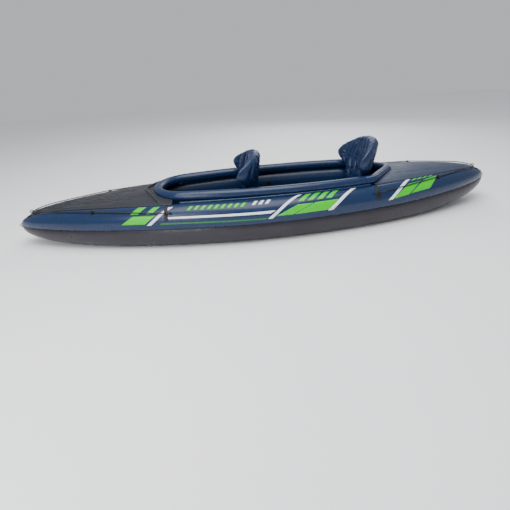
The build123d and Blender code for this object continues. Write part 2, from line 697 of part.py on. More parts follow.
def strap_section(x):
    """A thin band over the port upper chamber, between the strap's two angles."""
    tube = upper_tube(x)
    inner = tube_arc(tube, STRAP_LOW_ANGLE, STRAP_HIGH_ANGLE, CLEARANCE)
    outer = tube_arc(tube, STRAP_LOW_ANGLE, STRAP_HIGH_ANGLE, CLEARANCE + STRAP_THICKNESS)
    Line(inner @ 0, outer @ 0)
    Line(inner @ 1, outer @ 1)


for end, ring_x in (("front", FRONT_RING_X), ("rear", REAR_RING_X)):
    ring_plane = across_rope(chamber_plane(ring_x, RING_ANGLE, RING_LIFT))
    keeper_plane = chamber_plane(ring_x, RING_ANGLE, CLEARANCE + STRAP_THICKNESS / 2)
    with BuildPart() as strap:
        for step in (-1, 1):
            with BuildSketch(section_plane(ring_x + step * STRAP_WIDTH / 2)):
                with BuildLine():
                    strap_section(ring_x + step * STRAP_WIDTH / 2)
                make_face()
        loft()
        with BuildSketch(keeper_plane):
            Rectangle(KEEPER_LENGTH, KEEPER_WIDTH)
        extrude(amount=KEEPER_HEIGHT)
        with Locations(ring_plane.location):
            Torus(RING_RADIUS, RING_WIRE + CLEARANCE, mode=Mode.SUBTRACT)
    with BuildPart() as ring:
        with Locations(ring_plane.location):
            Torus(RING_RADIUS, RING_WIRE)
    for port, name in ((strap, "ring_strap"), (ring, "ring")):
        with BuildPart() as starboard:
            mirror(port.part, about=Plane.XZ)
        port.part.label = f"{end}_port_{name}"
        starboard.part.label = f"{end}_starboard_{name}"
        export_step(port.part, f"parts/{end}_port_{name}.step")
        export_step(starboard.part, f"parts/{end}_starboard_{name}.step")

for end, guide_x in (("bow", BOW_GUIDE_X), ("stern", STERN_GUIDE_X)):
    disc_plane = chamber_plane(guide_x, GUIDE_ANGLE, 2 * CLEARANCE)
    eye_plane = across_rope(chamber_plane(guide_x, GUIDE_ANGLE, GUIDE_LIFT))
    with BuildPart() as guide:
        with BuildSketch(disc_plane):
            Circle(GUIDE_DISC_RADIUS)
        extrude(amount=GUIDE_DISC)
        with Locations(eye_plane.location):
            Torus(GUIDE_RADIUS, GUIDE_WIRE)
    with BuildPart() as starboard:
        mirror(guide.part, about=Plane.XZ)
    guide.part.label = f"{end}_port_rope_guide"
    starboard.part.label = f"{end}_starboard_rope_guide"
    export_step(guide.part, f"parts/{end}_port_rope_guide.step")
    export_step(starboard.part, f"parts/{end}_starboard_rope_guide.step")


def tip_plane(x):
    """On the crests of the two chambers near a nose, sloping with them."""
    slope = crest_height(x + 1) - crest_height(x - 1)
    normal = Vector(-slope, 0, 2).normalized()
    origin = Vector(x, 0, crest_height(x)) + normal * 2 * CLEARANCE
    return Plane(origin=origin, x_dir=(2, 0, slope), z_dir=normal)


# ================================================================ noses: tip plates, tow tabs, grommets
for end, sign in (("bow", 1), ("stern", -1)):
    base = tip_plane(sign * TIP_X)
    plate_width = 2 * (upper_tube(sign * TIP_X)[0] + TIP_PLATE_MARGIN)
    with BuildPart() as tip_plate:
        with BuildSketch(base):
            RectangleRounded(TIP_PLATE_LENGTH, plate_width, TIP_PLATE_LENGTH / 4)
        extrude(amount=TIP_PLATE)
        ring_plane = base.offset(TIP_PLATE + TIP_RING_RADIUS)
        with Locations(Plane(origin=ring_plane.origin, x_dir=ring_plane.x_dir, z_dir=(0, 1, 0)).location):
            Torus(TIP_RING_RADIUS, TIP_RING_WIRE)
    tip_plate.part.label = f"{end}_tip_plate"
    export_step(tip_plate.part, f"parts/{end}_tip_plate.step")

    eye_x = sign * (HALF_LENGTH + TAB_REACH - TAB_EYE_RADIUS)
    eye_z = seam_height(sign * HALF_LENGTH)
    tab_plane = Plane(origin=(eye_x, 0, eye_z), x_dir=(1, 0, 0), z_dir=(0, -1, 0))
    with BuildPart() as tow_tab:
        with BuildSketch(tab_plane):
            Circle(TAB_EYE_RADIUS)
            with BuildLine():
                Polyline(
                    (0, TAB_EYE_RADIUS), (0, -TAB_EYE_RADIUS),
                    (-sign * TAB_ROOT, -TAB_HEIGHT / 2), (-sign * TAB_ROOT, TAB_HEIGHT / 2),
                    close=True,
                )
            make_face()
            Circle(GROMMET_TUBE + CLEARANCE / 2, mode=Mode.SUBTRACT)
        extrude(amount=TAB_THICKNESS / 2, both=True)
    tow_tab.part.label = f"{end}_tow_tab"
    export_step(tow_tab.part, f"parts/{end}_tow_tab.step")

    lip_gap = TAB_THICKNESS / 2 + CLEARANCE / 2
    with BuildPart() as grommet:
        with BuildSketch(tab_plane):
            Circle(GROMMET_TUBE)
        extrude(amount=lip_gap + GROMMET_LIP, both=True)
        for facing in (-1, 1):
            with BuildSketch(tab_plane.offset(facing * lip_gap)):
                Circle(GROMMET_FLANGE)
            extrude(amount=facing * GROMMET_LIP)
        with BuildSketch(tab_plane):
            Circle(GROMMET_BORE)
        extrude(amount=lip_gap + GROMMET_LIP, both=True, mode=Mode.SUBTRACT)
    grommet.part.label = f"{end}_tow_grommet"
    export_step(grommet.part, f"parts/{end}_tow_grommet.step")

# ================================================================ grab lines
GRAB_LINES = {
    "bow": (FRONT_RING_X, BOW_GUIDE_X, TIP_X, 1),
    "stern": (REAR_RING_X, STERN_GUIDE_X, -TIP_X, -1),
}
RUN_SHARES = (0.22, 0.44, 0.63, 0.82)      # where the line touches down between two fittings
TIP_RUNS = ((0.25, ROPE_LIFT), (0.50, ROPE_LIFT), (0.72, 11.0), (0.88, 15.0))     # share, lift
TIP_ANGLE = 80.0
TIP_TURN_Y = 27.0
KNOT_LENGTH = 15.0


def port_route(ring_x, guide_x, tip_x, sign):
    """Points from the knot behind the corner ring, through the guide, to beside the tip ring."""
    route = [chamber_point(ring_x - sign * 22, RING_ANGLE, RING_LIFT)]
    route.append(chamber_point(ring_x + sign * 22, RING_ANGLE, RING_LIFT))
    for part in RUN_SHARES:
        angle = RING_ANGLE + (GUIDE_ANGLE - RING_ANGLE) * part
        route.append(chamber_point(ring_x + (guide_x - ring_x) * part, angle, ROPE_LIFT))
    route.append(chamber_point(guide_x, GUIDE_ANGLE, GUIDE_LIFT))
    for part, lift in TIP_RUNS:
        angle = GUIDE_ANGLE + (TIP_ANGLE - GUIDE_ANGLE) * part
        route.append(chamber_point(guide_x + (tip_x - guide_x) * part, angle, lift))
    eye = tip_plane(tip_x).origin + Vector(0, TIP_TURN_Y, TIP_PLATE + TIP_RING_RADIUS)
    route.append(eye)
    return route


def corner_radii(points):
    """As large an arc at each corner as its two runs allow."""
    radii = []
    for before, here, after in zip(points, points[1:], points[2:]):
        turn = radians((here - before).get_angle(after - here))
        shorter = min((here - before).length, (after - here).length)
        radii.append(0.45 * shorter / tan(turn / 2))
    return radii


for end, fittings in GRAB_LINES.items():
    port_points = port_route(*fittings)
    points = port_points + [to_starboard(point) for point in reversed(port_points)]
    radii = corner_radii(points)
    print(end, "grab line radii", [round(radius) for radius in radii])
    with BuildPart() as grab_line:
        with BuildLine() as rope_line:
            FilletPolyline(*points, radius=radii)
        rope = rope_line.wires()[0]
        with BuildSketch(Plane(origin=rope @ 0, z_dir=rope % 0)):
            Circle(ROPE_RADIUS)
        sweep(path=rope)
        print(end, "grab line length", round(rope.length), "tube volume share",
              round(grab_line.part.volume / (pi * ROPE_RADIUS**2 * rope.length), 5))
        for rope_end, outward in ((rope @ 0, rope % 0 * -1), (rope @ 1, rope % 1)):
            with BuildSketch(Plane(origin=rope_end, z_dir=outward)):
                Circle(KNOT_RADIUS)
            extrude(amount=KNOT_LENGTH)
    grab_line.part.label = f"{end}_grab_line"
    export_step(grab_line.part, f"parts/{end}_grab_line.step")
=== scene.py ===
"""Looks of the two-seat inflatable kayak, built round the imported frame.

+X is the bow, +Y port and +Z up.  Lengths in the classes are in metres, as in Blender.
"""
import logging
import math
from dataclasses import dataclass
from enum import Enum
from typing import Callable, Sequence

import bmesh
import bpy
import numpy as np
from mathutils import Matrix, Vector, noise


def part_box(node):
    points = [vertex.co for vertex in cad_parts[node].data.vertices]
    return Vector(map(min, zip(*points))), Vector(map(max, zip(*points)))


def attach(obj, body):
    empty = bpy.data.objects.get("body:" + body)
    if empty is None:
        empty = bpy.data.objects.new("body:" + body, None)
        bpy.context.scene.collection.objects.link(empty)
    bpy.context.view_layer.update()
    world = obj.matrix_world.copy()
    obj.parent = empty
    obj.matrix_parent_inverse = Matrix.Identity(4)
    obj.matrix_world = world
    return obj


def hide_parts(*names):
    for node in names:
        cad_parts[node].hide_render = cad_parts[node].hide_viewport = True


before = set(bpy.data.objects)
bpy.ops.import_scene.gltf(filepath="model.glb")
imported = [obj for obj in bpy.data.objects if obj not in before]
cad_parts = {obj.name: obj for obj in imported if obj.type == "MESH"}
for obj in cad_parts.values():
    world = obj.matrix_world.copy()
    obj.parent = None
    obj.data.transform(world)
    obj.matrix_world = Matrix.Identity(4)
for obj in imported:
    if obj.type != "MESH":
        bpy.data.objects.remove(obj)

LOG = logging.getLogger("kayak")
Point = tuple[float, float, float]
Faces = list[tuple[int, ...]]
MM = 0.001
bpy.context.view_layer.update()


class Side(Enum):
    """The two sides of the boat, by the sign of Y."""

    PORT = 1
    STARBOARD = -1

    @property
    def label(self) -> str:
        """The side's name as the pieces spell it."""
        return self.name.lower()


class End(Enum):
    """The two ends of the boat, by the sign of X."""

    BOW = 1
    STERN = -1

    @property
    def label(self) -> str:
        """The end's name as the pieces spell it."""
        return self.name.lower()


# ------------------------------------------------------------------ shader helpers
def linear(hex_colour: str) -> tuple[float, float, float, float]:
    """Turn an sRGB hex colour into linear RGBA.

    Args:
        hex_colour: six hexadecimal digits with a leading #.

    Returns:
        Linear red, green, blue and an alpha of 1.
    """
    channels = [int(hex_colour[i:i + 2], 16) / 255 for i in (1, 3, 5)]
    lin = [c / 12.92 if c <= 0.04045 else ((c + 0.055) / 1.055) ** 2.4 for c in channels]
    return (lin[0], lin[1], lin[2], 1.0)


def add_node(tree: bpy.types.NodeTree, kind: str, settings: dict | None = None,
             inputs: dict | None = None) -> bpy.types.Node:
    """Add a node with its settings and its links or values.

    Args:
        tree: the node tree to add to.
        kind: Blender's name of the node type.
        settings: attributes of the node.
        inputs: socket name or number to a value, or to an output socket to link from.

    Returns:
        The new node.
    """
    node = tree.nodes.new(kind)
    for name, value in (settings or {}).items():
        setattr(node, name, value)
    for name, value in (inputs or {}).items():
        if isinstance(value, bpy.types.NodeSocket):
            tree.links.new(value, node.inputs[name])
        else:
            node.inputs[name].default_value = value
    return node


@dataclass(frozen=True)
class Finish:
    """A surface finish: a principled shader with mottled colour, fine grain and bump.

    grain_mm is the size of the fine relief, mottle_mm of the broad colour variation.
    """

    name: str
    slot: str
    colour: str
    shade: str
    roughness: float
    roughness_swing: float = 0.08
    grain_mm: float = 3.0
    grain_depth_mm: float = 0.05
    mottle_mm: float = 180.0
    mottle: float = 0.35
    ior: float = 1.5
    metallic: float = 0.0
    coat: float = 0.0
    sheen: float = 0.0
    weave_mm: float = 0.0
    weave_axes: tuple[int, int] = (0, 1)
    dust: str = ""
    dust_mm: float = 60.0

    def material(self) -> bpy.types.Material:
        """Build the material, or return it when it exists already.

        Returns:
            The finish's material.
        """
        found = bpy.data.materials.get(self.name)
        if found:
            return found
        mat = bpy.data.materials.new(self.name)
        mat.use_nodes = True
        tree = mat.node_tree
        tree.nodes.clear()
        place = add_node(tree, "ShaderNodeTexCoord").outputs["Object"]
        mottle = add_node(tree, "ShaderNodeTexNoise", {}, {
            "Vector": place, "Scale": 1 / (self.mottle_mm * MM), "Detail": 4.0, "Roughness": 0.6})
        tone = add_node(tree, "ShaderNodeMapRange", {}, {
            "Value": mottle.outputs["Fac"], "From Min": 0.35, "From Max": 0.65,
            "To Min": 0.0, "To Max": self.mottle})
        mix = add_node(tree, "ShaderNodeMix", {"data_type": "RGBA"}, {
            "Factor": tone.outputs["Result"], "A": linear(self.colour), "B": linear(self.shade)})
        colour = mix.outputs["Result"]
        grain = add_node(tree, "ShaderNodeTexNoise", {}, {
            "Vector": place, "Scale": 1 / (self.grain_mm * MM), "Detail": 3.0, "Roughness": 0.55})
        height = grain.outputs["Fac"]
        if self.weave_mm:
            height, colour = self._weave(tree, place, height, colour)
        if self.dust:
            colour = self._dust(tree, place, colour)
        rough = add_node(tree, "ShaderNodeMapRange", {}, {
            "Value": mottle.outputs["Fac"], "From Min": 0.3, "From Max": 0.7,
            "To Min": self.roughness - self.roughness_swing,
            "To Max": self.roughness + self.roughness_swing})
        bump = add_node(tree, "ShaderNodeBump", {}, {
            "Height": height, "Strength": 0.6, "Distance": self.grain_depth_mm * MM})
        shader = add_node(tree, "ShaderNodeBsdfPrincipled", {}, {
            "Base Color": colour, "Roughness": rough.outputs["Result"],
            "Normal": bump.outputs["Normal"], "Metallic": self.metallic, "IOR": self.ior,
            "Coat Weight": self.coat, "Coat Roughness": 0.25, "Sheen Weight": self.sheen,
            "Sheen Roughness": 0.5})
        add_node(tree, "ShaderNodeOutputMaterial", {}, {"Surface": shader.outputs["BSDF"]})
        return mat

    def _weave(self, tree: bpy.types.NodeTree, place: bpy.types.NodeSocket,
               height: bpy.types.NodeSocket, colour: bpy.types.NodeSocket
               ) -> tuple[bpy.types.NodeSocket, bpy.types.NodeSocket]:
        """Cross two thread waves over the grain, with painted shade in the gaps between the threads.

        Args:
            tree: the material's tree.
            place: the object coordinates.
            height: the grain's height.
            colour: the colour so far.

        Returns:
            The height with threads, and the colour with painted shade between them.
        """
        split = add_node(tree, "ShaderNodeSeparateXYZ", {}, {"Vector": place})
        waves = []
        for axis in self.weave_axes:
            turns = add_node(tree, "ShaderNodeMath", {"operation": "MULTIPLY"}, {
                0: split.outputs[axis], 1: 2 * math.pi / (self.weave_mm * MM)})
            waves.append(add_node(tree, "ShaderNodeMath", {"operation": "SINE"}, {0: turns.outputs[0]}))
        cross = add_node(tree, "ShaderNodeMath", {"operation": "MULTIPLY"}, {
            0: waves[0].outputs[0], 1: waves[1].outputs[0]})
        total = add_node(tree, "ShaderNodeMath", {"operation": "MULTIPLY_ADD"}, {
            0: cross.outputs[0], 1: 0.5, 2: height})
        # Painted shade: the colour darkens towards the shade tone in the gaps, where the threads dip.
        shade = add_node(tree, "ShaderNodeMapRange", {}, {
            "Value": cross.outputs[0], "From Min": -1.0, "From Max": 1.0, "To Min": 0.35, "To Max": 0.0})
        painted_thread_gap_shade = add_node(tree, "ShaderNodeMix", {"data_type": "RGBA"}, {
            "Factor": shade.outputs["Result"], "A": colour, "B": linear(self.shade)})
        return total.outputs[0], painted_thread_gap_shade.outputs["Result"]

    def _dust(self, tree: bpy.types.NodeTree, place: bpy.types.NodeSocket,
              colour: bpy.types.NodeSocket) -> bpy.types.NodeSocket:
        """Lay faint scuffs and dust over the colour, in patches.

        Args:
            tree: the material's tree.
            place: the object coordinates.
            colour: the colour so far.

        Returns:
            The colour with the scuffs.
        """
        patches = add_node(tree, "ShaderNodeTexNoise", {}, {
            "Vector": place, "Scale": 1 / (self.dust_mm * MM), "Detail": 8.0, "Roughness": 0.75})
        amount = add_node(tree, "ShaderNodeMapRange", {}, {
            "Value": patches.outputs["Fac"], "From Min": 0.55, "From Max": 0.85,
            "To Min": 0.0, "To Max": 0.5})
        mixed = add_node(tree, "ShaderNodeMix", {"data_type": "RGBA"}, {
            "Factor": amount.outputs["Result"], "A": colour, "B": linear(self.dust)})
        return mixed.outputs["Result"]


# Calendered PVC film, high-frequency welded: smooth, slightly waxy highlights, faint tension mottle.
NAVY_FILM = Finish("navy_pvc_film", "navy_film", "#112849", "#0B1D38", 0.27, grain_mm=1.6,
                   grain_depth_mm=0.05, ior=1.42, dust="#1C3860")
# The same film filled with carbon black, embossed against scuffs: duller and warmer.
CHARCOAL_FILM = Finish("charcoal_embossed_pvc_film", "charcoal_film", "#25222A", "#1C1A20", 0.33,
                       grain_mm=2.2, grain_depth_mm=0.12, ior=1.45, dust="#3A373F")
# Glossy black film of the I-beam floor: deep black with bright, narrow highlights on the tubes.
BLACK_FILM = Finish("black_pvc_floor_film", "black_film", "#101013", "#0A0A0C", 0.28,
                    grain_mm=2.5, grain_depth_mm=0.06, dust="#1E1E23")
# Navy film of the seats, thinner and more relaxed, so a little duller than the chambers.
SEAT_FILM = Finish("navy_pvc_seat_film", "seat_film", "#0F2548", "#091934", 0.30, grain_mm=1.4,
                   grain_depth_mm=0.05, mottle_mm=70, ior=1.45, dust="#1A355C")
# Plain-woven polyester, PVC backed: dull, soft sheen, threads at 1 mm drawn at 3 mm so that they show.
DECK_CLOTH = Finish("coated_polyester_deck_cloth", "deck_cloth", "#0A1220", "#05090F", 0.50,
                    grain_mm=4.0, grain_depth_mm=0.18, mottle_mm=120, mottle=0.6, sheen=0.08,
                    weave_mm=3.0, dust="#1E2B40")
# The stern's cloth has the same weave in navy: smoother, with a little more gloss than the bow's.
# Its threads are drawn at 3 mm as well, so that they show.
STERN_CLOTH = Finish("coated_polyester_stern_cloth", "deck_cloth", "#122745", "#0C1D36", 0.42,
                     grain_mm=4.0, grain_depth_mm=0.08, mottle_mm=150, mottle=0.4, sheen=0.05,
                     ior=1.42, weave_mm=3.0, dust="#1B3355")
# Folded strip of deck cloth over a cord, sewn down: the darkest edge of the deck.
# Its threads are drawn at 2 mm so that they show.
PIPING_CLOTH = Finish("folded_piping_cloth", "deck_piping", "#0A1120", "#060A13", 0.58,
                      grain_mm=1.5, grain_depth_mm=0.12, sheen=0.2, weave_mm=2.0)
# Woven polypropylene webbing: ribs across a dull black tape, drawn coarse at 2.4 mm so that they show.
WEBBING = Finish("black_polypropylene_webbing", "webbing", "#0C0C0E", "#060607", 0.62, grain_mm=0.8,
                 grain_depth_mm=0.15, weave_mm=2.4)
# Braided polyester rope: fine bright fibres on black.
ROPE_FIBRE = Finish("black_braided_polyester", "rope", "#0D0D0F", "#060607", 0.55, grain_mm=0.7,
                    grain_depth_mm=0.15, mottle_mm=8, mottle=0.6)
# Injection-moulded ABS: fine spark-eroded texture, satin black.
MOULDED_BLACK = Finish("moulded_black_abs", "black_plastic", "#0D0D0F", "#08080A", 0.40,
                       grain_mm=0.6, grain_depth_mm=0.04, mottle_mm=20)
# Moulded soft PVC of the valves: dark blue-grey, a little shiny.
VALVE_PVC = Finish("moulded_valve_pvc", "valve_plastic", "#111C30", "#0A1322", 0.36, grain_mm=0.9,
                   grain_depth_mm=0.03, mottle_mm=15)
# Nickel-plated brass grommet, tumbled: bright with fine scratches.
NICKEL = Finish("nickel_plated_brass", "grommet_metal", "#C9C6BE", "#A9A69F", 0.26, grain_mm=0.5,
                grain_depth_mm=0.02, mottle_mm=6, metallic=1.0)
# Nylon hook and loop tape: a deep matt nap.
HOOK_TAPE = Finish("nylon_hook_and_loop", "hook_and_loop", "#161617", "#09090A", 0.9, grain_mm=0.8,
                   grain_depth_mm=0.4, mottle_mm=5, sheen=0.5)
# A thin welded cord; its pale colour is a painted highlight along the rim's crown.
PAINTED_HIGHLIGHT_PIPING = Finish("pale_piping_painted_highlight", "navy_film", "#8FA3C4", "#7689AB", 0.4, grain_mm=1.0,
                      grain_depth_mm=0.03)
# Matt emulsion on the studio floor: nearly white, no gloss.
STUDIO_PAINT = Finish("matt_studio_emulsion", "", "#F2F3F5", "#ECEEF1", 0.85, grain_mm=4.0,
                      grain_depth_mm=0.02, mottle_mm=900, mottle=0.3)
# Screen-printed vinyl ink: flat, bright and slightly raised, with the film's own gloss.
GREEN_INK = Finish("green_vinyl_ink", "navy_film", "#2FBE00", "#28A800", 0.34, grain_mm=1.6,
                   grain_depth_mm=0.03, mottle=0.25, coat=0.1)
# The same ink in a deep green: duller, and it reads as the white line's shadow.
DARK_GREEN_INK = Finish("dark_green_vinyl_ink", "navy_film", "#12702A", "#0F5E22", 0.38, grain_mm=1.6,
                        grain_depth_mm=0.03, mottle=0.25)
# Opaque white ink of the same kind: slightly cool, the brightest mark on the navy film.
WHITE_INK = Finish("white_vinyl_ink", "navy_film", "#E4E8F0", "#D6DBE5", 0.38, grain_mm=1.6,
                   grain_depth_mm=0.03, mottle=0.25)


# ------------------------------------------------------------------ mesh helpers
def grid_faces(rows: int, columns: int, close_columns: bool = False, offset: int = 0) -> Faces:
    """Quads over a grid of vertices.

    Args:
        rows: vertices along the first direction.
        columns: vertices along the second direction.
        close_columns: join the last column to the first.
        offset: number of the grid's first vertex.

    Returns:
        The faces, wound so that row x column points outwards.
    """
    last = columns if close_columns else columns - 1
    faces: Faces = []
    for i in range(rows - 1):
        for j in range(last):
            a, b = offset + i * columns + j, offset + i * columns + (j + 1) % columns
            faces.append((a, b, b + columns, a + columns))
    return faces


def closed_slab(rows: int, columns: int, offset: int = 0) -> Faces:
    """Faces of two grids of the same size, one after the other, joined round their rim.

    Args:
        rows: rows of each grid.
        columns: columns of each grid.
        offset: number of the first grid's first vertex.

    Returns:
        The faces of both grids and of the rim between them.
    """
    under = offset + rows * columns
    faces = grid_faces(rows, columns, offset=offset)
    faces += [tuple(reversed(f)) for f in grid_faces(rows, columns, offset=under)]
    rim = list(range(columns))
    rim += [i * columns + columns - 1 for i in range(1, rows)]
    rim += [(rows - 1) * columns + j for j in range(columns - 2, -1, -1)]
    rim += [i * columns for i in range(rows - 2, 0, -1)]
    for here, then in zip(rim, rim[1:] + rim[:1]):
        faces.append((offset + here, under + here, under + then, offset + then))
    return faces


def smooth_noise(x: float, y: float, z: float = 0.0) -> float:
    """Repeatable noise from about -1 to 1."""
    return noise.noise(Vector((x, y, z)))


@dataclass
class Maker:
    """Makes finished pieces from vertices and faces."""

    count: int = 0

    def piece(self, name: str, verts: Sequence[Sequence[float]], faces: Faces, finish: Finish,
              body: str = "hull", replaces: Sequence[str] = (), mirror: bool = False
              ) -> bpy.types.Object:
        """Make one mesh object, dressed, smooth and riding on its body.

        Args:
            name: the piece's name.
            verts: the vertices in metres.
            faces: the faces.
            finish: its finish.
            body: the CAD body it moves with.
            replaces: CAD nodes that it stands for.
            mirror: whether to flip it to the other side of the boat.

        Returns:
            The new object.
        """
        mesh = bpy.data.meshes.new(name)
        if mirror:
            verts = [(v[0], -v[1], v[2]) for v in verts]
        mesh.from_pydata([tuple(map(float, v)) for v in verts], [], faces)
        work = bmesh.new()
        work.from_mesh(mesh)
        bmesh.ops.remove_doubles(work, verts=work.verts, dist=1e-6)
        bmesh.ops.dissolve_degenerate(work, edges=work.edges, dist=1e-7)
        bmesh.ops.recalc_face_normals(work, faces=work.faces)
        work.to_mesh(mesh)
        work.free()
        mesh.shade_smooth()
        obj = bpy.data.objects.new(name, mesh)
        bpy.context.scene.collection.objects.link(obj)
        return self.dress(obj, finish, body, replaces)

    def dress(self, obj: bpy.types.Object, finish: Finish, body: str = "hull",
              replaces: Sequence[str] = ()) -> bpy.types.Object:
        """Give an object its finish, body and CAD nodes.

        Args:
            obj: the object.
            finish: its finish.
            body: the CAD body it moves with.
            replaces: CAD nodes that it stands for.

        Returns:
            The same object.
        """
        obj.data.materials.clear()
        obj.data.materials.append(finish.material())
        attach(obj, body)
        if replaces:
            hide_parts(*replaces)
        self.count += 1
        LOG.info("made %s on %s", obj.name, body)
        return obj

    def tube(self, name: str, path: Sequence[Vector], radius: Callable[[float, float], float],
             finish: Finish, body: str = "hull", replaces: Sequence[str] = (), ring: int = 16,
             closed: bool = False) -> bpy.types.Object:
        """Sweep a closed section along a path without twisting it.

        Args:
            name: the piece's name.
            path: the centre line.
            radius: the radius in metres at a run length and an angle.
            finish: its finish.
            body: the CAD body it moves with.
            replaces: CAD nodes that it stands for.
            ring: vertices round the section.
            closed: whether the path is a loop.

        Returns:
            The new object.
        """
        count = len(path)
        up = Vector((0, 0, 1))
        verts: list[Vector] = []
        run = 0.0
        for i, here in enumerate(path):
            before = path[i - 1] if (i or closed) else here
            after = path[(i + 1) % count] if (i < count - 1 or closed) else here
            along = (after - before).normalized()
            side = along.cross(up).normalized()
            top = side.cross(along)
            run += (here - before).length if i else 0.0
            for j in range(ring):
                angle = 2 * math.pi * j / ring
                reach = radius(run, angle)
                verts.append(here + side * (math.cos(angle) * reach) + top * (math.sin(angle) * reach))
        faces = grid_faces(count, ring, True)
        if closed:
            first, last = 0, (count - 1) * ring
            faces += [(last + j, last + (j + 1) % ring, first + (j + 1) % ring, first + j)
                      for j in range(ring)]
        else:
            faces += [tuple(range(ring)), tuple(reversed(range((count - 1) * ring, count * ring)))]
        return self.piece(name, verts, faces, finish, body, replaces)


def spline_through(points: Sequence[Vector], steps: int = 24) -> list[Vector]:
    """The smooth line that a rope takes through its route's points.

    Args:
        points: the route's points, which the line rounds off.
        steps: points along each of its spans.

    Returns:
        Points along a NURBS curve of order 3.
    """
    curve = bpy.data.curves.new("route", "CURVE")
    curve.dimensions = "3D"
    spline = curve.splines.new("NURBS")
    spline.points.add(len(points) - 1)
    for knot, point in zip(spline.points, points):
        knot.co = (*point, 1.0)
    spline.order_u = 3
    spline.use_endpoint_u = True
    spline.resolution_u = steps
    holder = bpy.data.objects.new("route", curve)
    bpy.context.scene.collection.objects.link(holder)
    bpy.context.view_layer.update()
    mesh = bpy.data.meshes.new_from_object(holder)
    line = [v.co.copy() for v in mesh.vertices]
    bpy.data.objects.remove(holder)
    bpy.data.meshes.remove(mesh)
    return line


# ------------------------------------------------------------------ hull form
@dataclass
class HullForm:
    """The boat's shape as formulas, with the same sizes as the frame, in millimetres."""

    length: float = 3780.0
    beam: float = 930.0
    flat: float = 100.0
    bow_shape: tuple[float, float] = (1.55, 0.655)
    stern_shape: tuple[float, float] = (1.72, 0.63)
    seam: tuple[float, float, float] = (152.0, 146.0, 200.0)
    crest: tuple[float, float, float] = (308.0, 256.0, 312.0)
    rocker: tuple[float, float] = (48.0, 88.0)
    rocker_start: float = 1080.0
    sheer_start: float = 500.0
    bluntness: int = 14
    upper_width: float = 96.0
    lower_width: float = 90.0
    lower_inset: float = 5.0
    web_drop: float = 0.45
    blend: int = 6
    centre_gap: float = 1.8
    reach: float = 0.975

    @property
    def half(self) -> float:
        """Half the hull's length."""
        return self.length / 2

    @property
    def web_angle(self) -> float:
        """How far below its middle an air tube meets its web, in degrees."""
        return math.degrees(math.asin(self.web_drop))

    def share(self, x: float, start: float) -> float:
        """How far x lies from the middle part towards its nose, from 0 to 1."""
        return max(0.0, (abs(x) - start) / (self.half - start))

    def half_beam(self, x: float) -> float:
        """Half the beam at x."""
        power, fullness = self.bow_shape if x > 0 else self.stern_shape
        return self.beam / 2 * (1 - self.share(x, self.flat) ** power) ** fullness

    def _rise(self, x: float, sizes: Sequence[float], start: float, power: float) -> float:
        """A height that runs from the middle's value to the nose's."""
        nose = sizes[1] if x > 0 else sizes[2]
        return sizes[0] + (nose - sizes[0]) * self.share(x, start) ** power

    def _round(self, x: float) -> float:
        """How much of its height a tube keeps at x."""
        return math.sqrt(1 - self.share(x, 0) ** self.bluntness)

    def seam_z(self, x: float) -> float:
        """Height of the waterline seam."""
        return self._rise(x, self.seam, self.sheer_start, 2.0)

    def crest_z(self, x: float) -> float:
        """Height of the upper chamber's crest."""
        full = self._rise(x, self.crest, self.sheer_start, 1.6)
        return self.seam_z(x) + (full - self.seam_z(x)) * self._round(x)

    def keel_z(self, x: float) -> float:
        """Height of the lower chamber's underside."""
        full = self._rise(x, (0.0, *self.rocker), self.rocker_start, 1.6)
        return self.seam_z(x) - (self.seam_z(x) - full) * self._round(x)

    def _width(self, x: float, full: float, inset: float) -> float:
        """Half width of a side tube at x."""
        room = (self.half_beam(x) - inset - self.centre_gap) / 2
        return full * room / (room ** self.blend + full ** self.blend) ** (1 / self.blend)

    def upper(self, x: float) -> tuple[float, float, float, float]:
        """Size and place of the port upper chamber's section.

        Args:
            x: place along the hull, in millimetres.

        Returns:
            Centre y, centre z, half width and half height, in millimetres.
        """
        width = self._width(x, self.upper_width, 0.0)
        height = (self.crest_z(x) - self.seam_z(x)) / (1 + self.web_drop)
        return self.half_beam(x) - width, self.crest_z(x) - height, width, height

    def lower(self, x: float) -> tuple[float, float, float, float]:
        """Size and place of the port lower chamber's section.

        Args:
            x: place along the hull, in millimetres.

        Returns:
            Centre y, centre z, half width and half height, in millimetres.
        """
        inset = self.lower_inset * self.half_beam(x) / (self.beam / 2)
        width = self._width(x, self.lower_width, inset)
        height = (self.seam_z(x) - self.keel_z(x)) / (1 + self.web_drop)
        return self.half_beam(x) - inset - width, self.keel_z(x) + height, width, height

    def stations(self, count: int) -> list[float]:
        """Places along the hull, closer together at the noses."""
        return [self.half * math.sin(math.pi / 2 * self.reach * (2 * i / (count - 1) - 1))
                for i in range(count)]

    def relief(self, x: float, angle: float) -> float:
        """How far the film stands off the plain upper tube: puckers at the seam and soft lumps.

        Args:
            x: place along the hull, in millimetres.
            angle: angle round the tube from outboard, in degrees.

        Returns:
            The lift in millimetres.
        """
        off = (angle + self.web_angle) / 100
        seam = math.exp(-max(off, 0.0) * 5.0)
        wander = smooth_noise(x * 0.006, 3.1) * 3.0
        pucker = math.sin(x / 9.5 + wander) * (0.6 + smooth_noise(x * 0.02, 7.7))
        tension = math.sin(x / 31.0 + wander * 1.7) * 0.5
        lumps = smooth_noise(x * 0.004, angle * 0.02, 1.3) * 1.2
        return (pucker * 0.9 + tension) * seam + lumps * 0.8 - 0.3

    def on_upper(self, x: float, angle: float, lift: float = 0.0, relief: bool = True) -> Vector:
        """A point on or above the port upper chamber.

        Args:
            x: place along the hull, in millimetres.
            angle: angle up from outboard, in degrees.
            lift: height above the film, in millimetres.
            relief: whether the film's relief counts.

        Returns:
            The point in metres.
        """
        y, z, width, height = self.upper(x)
        fade = min(1.0, width / 60)
        off = lift + (self.relief(x, angle) * fade if relief else 0.0)
        turn = math.radians(angle)
        return Vector((x, y + (width + off) * math.cos(turn), z + (height + off) * math.sin(turn))) * MM


HULL = HullForm()


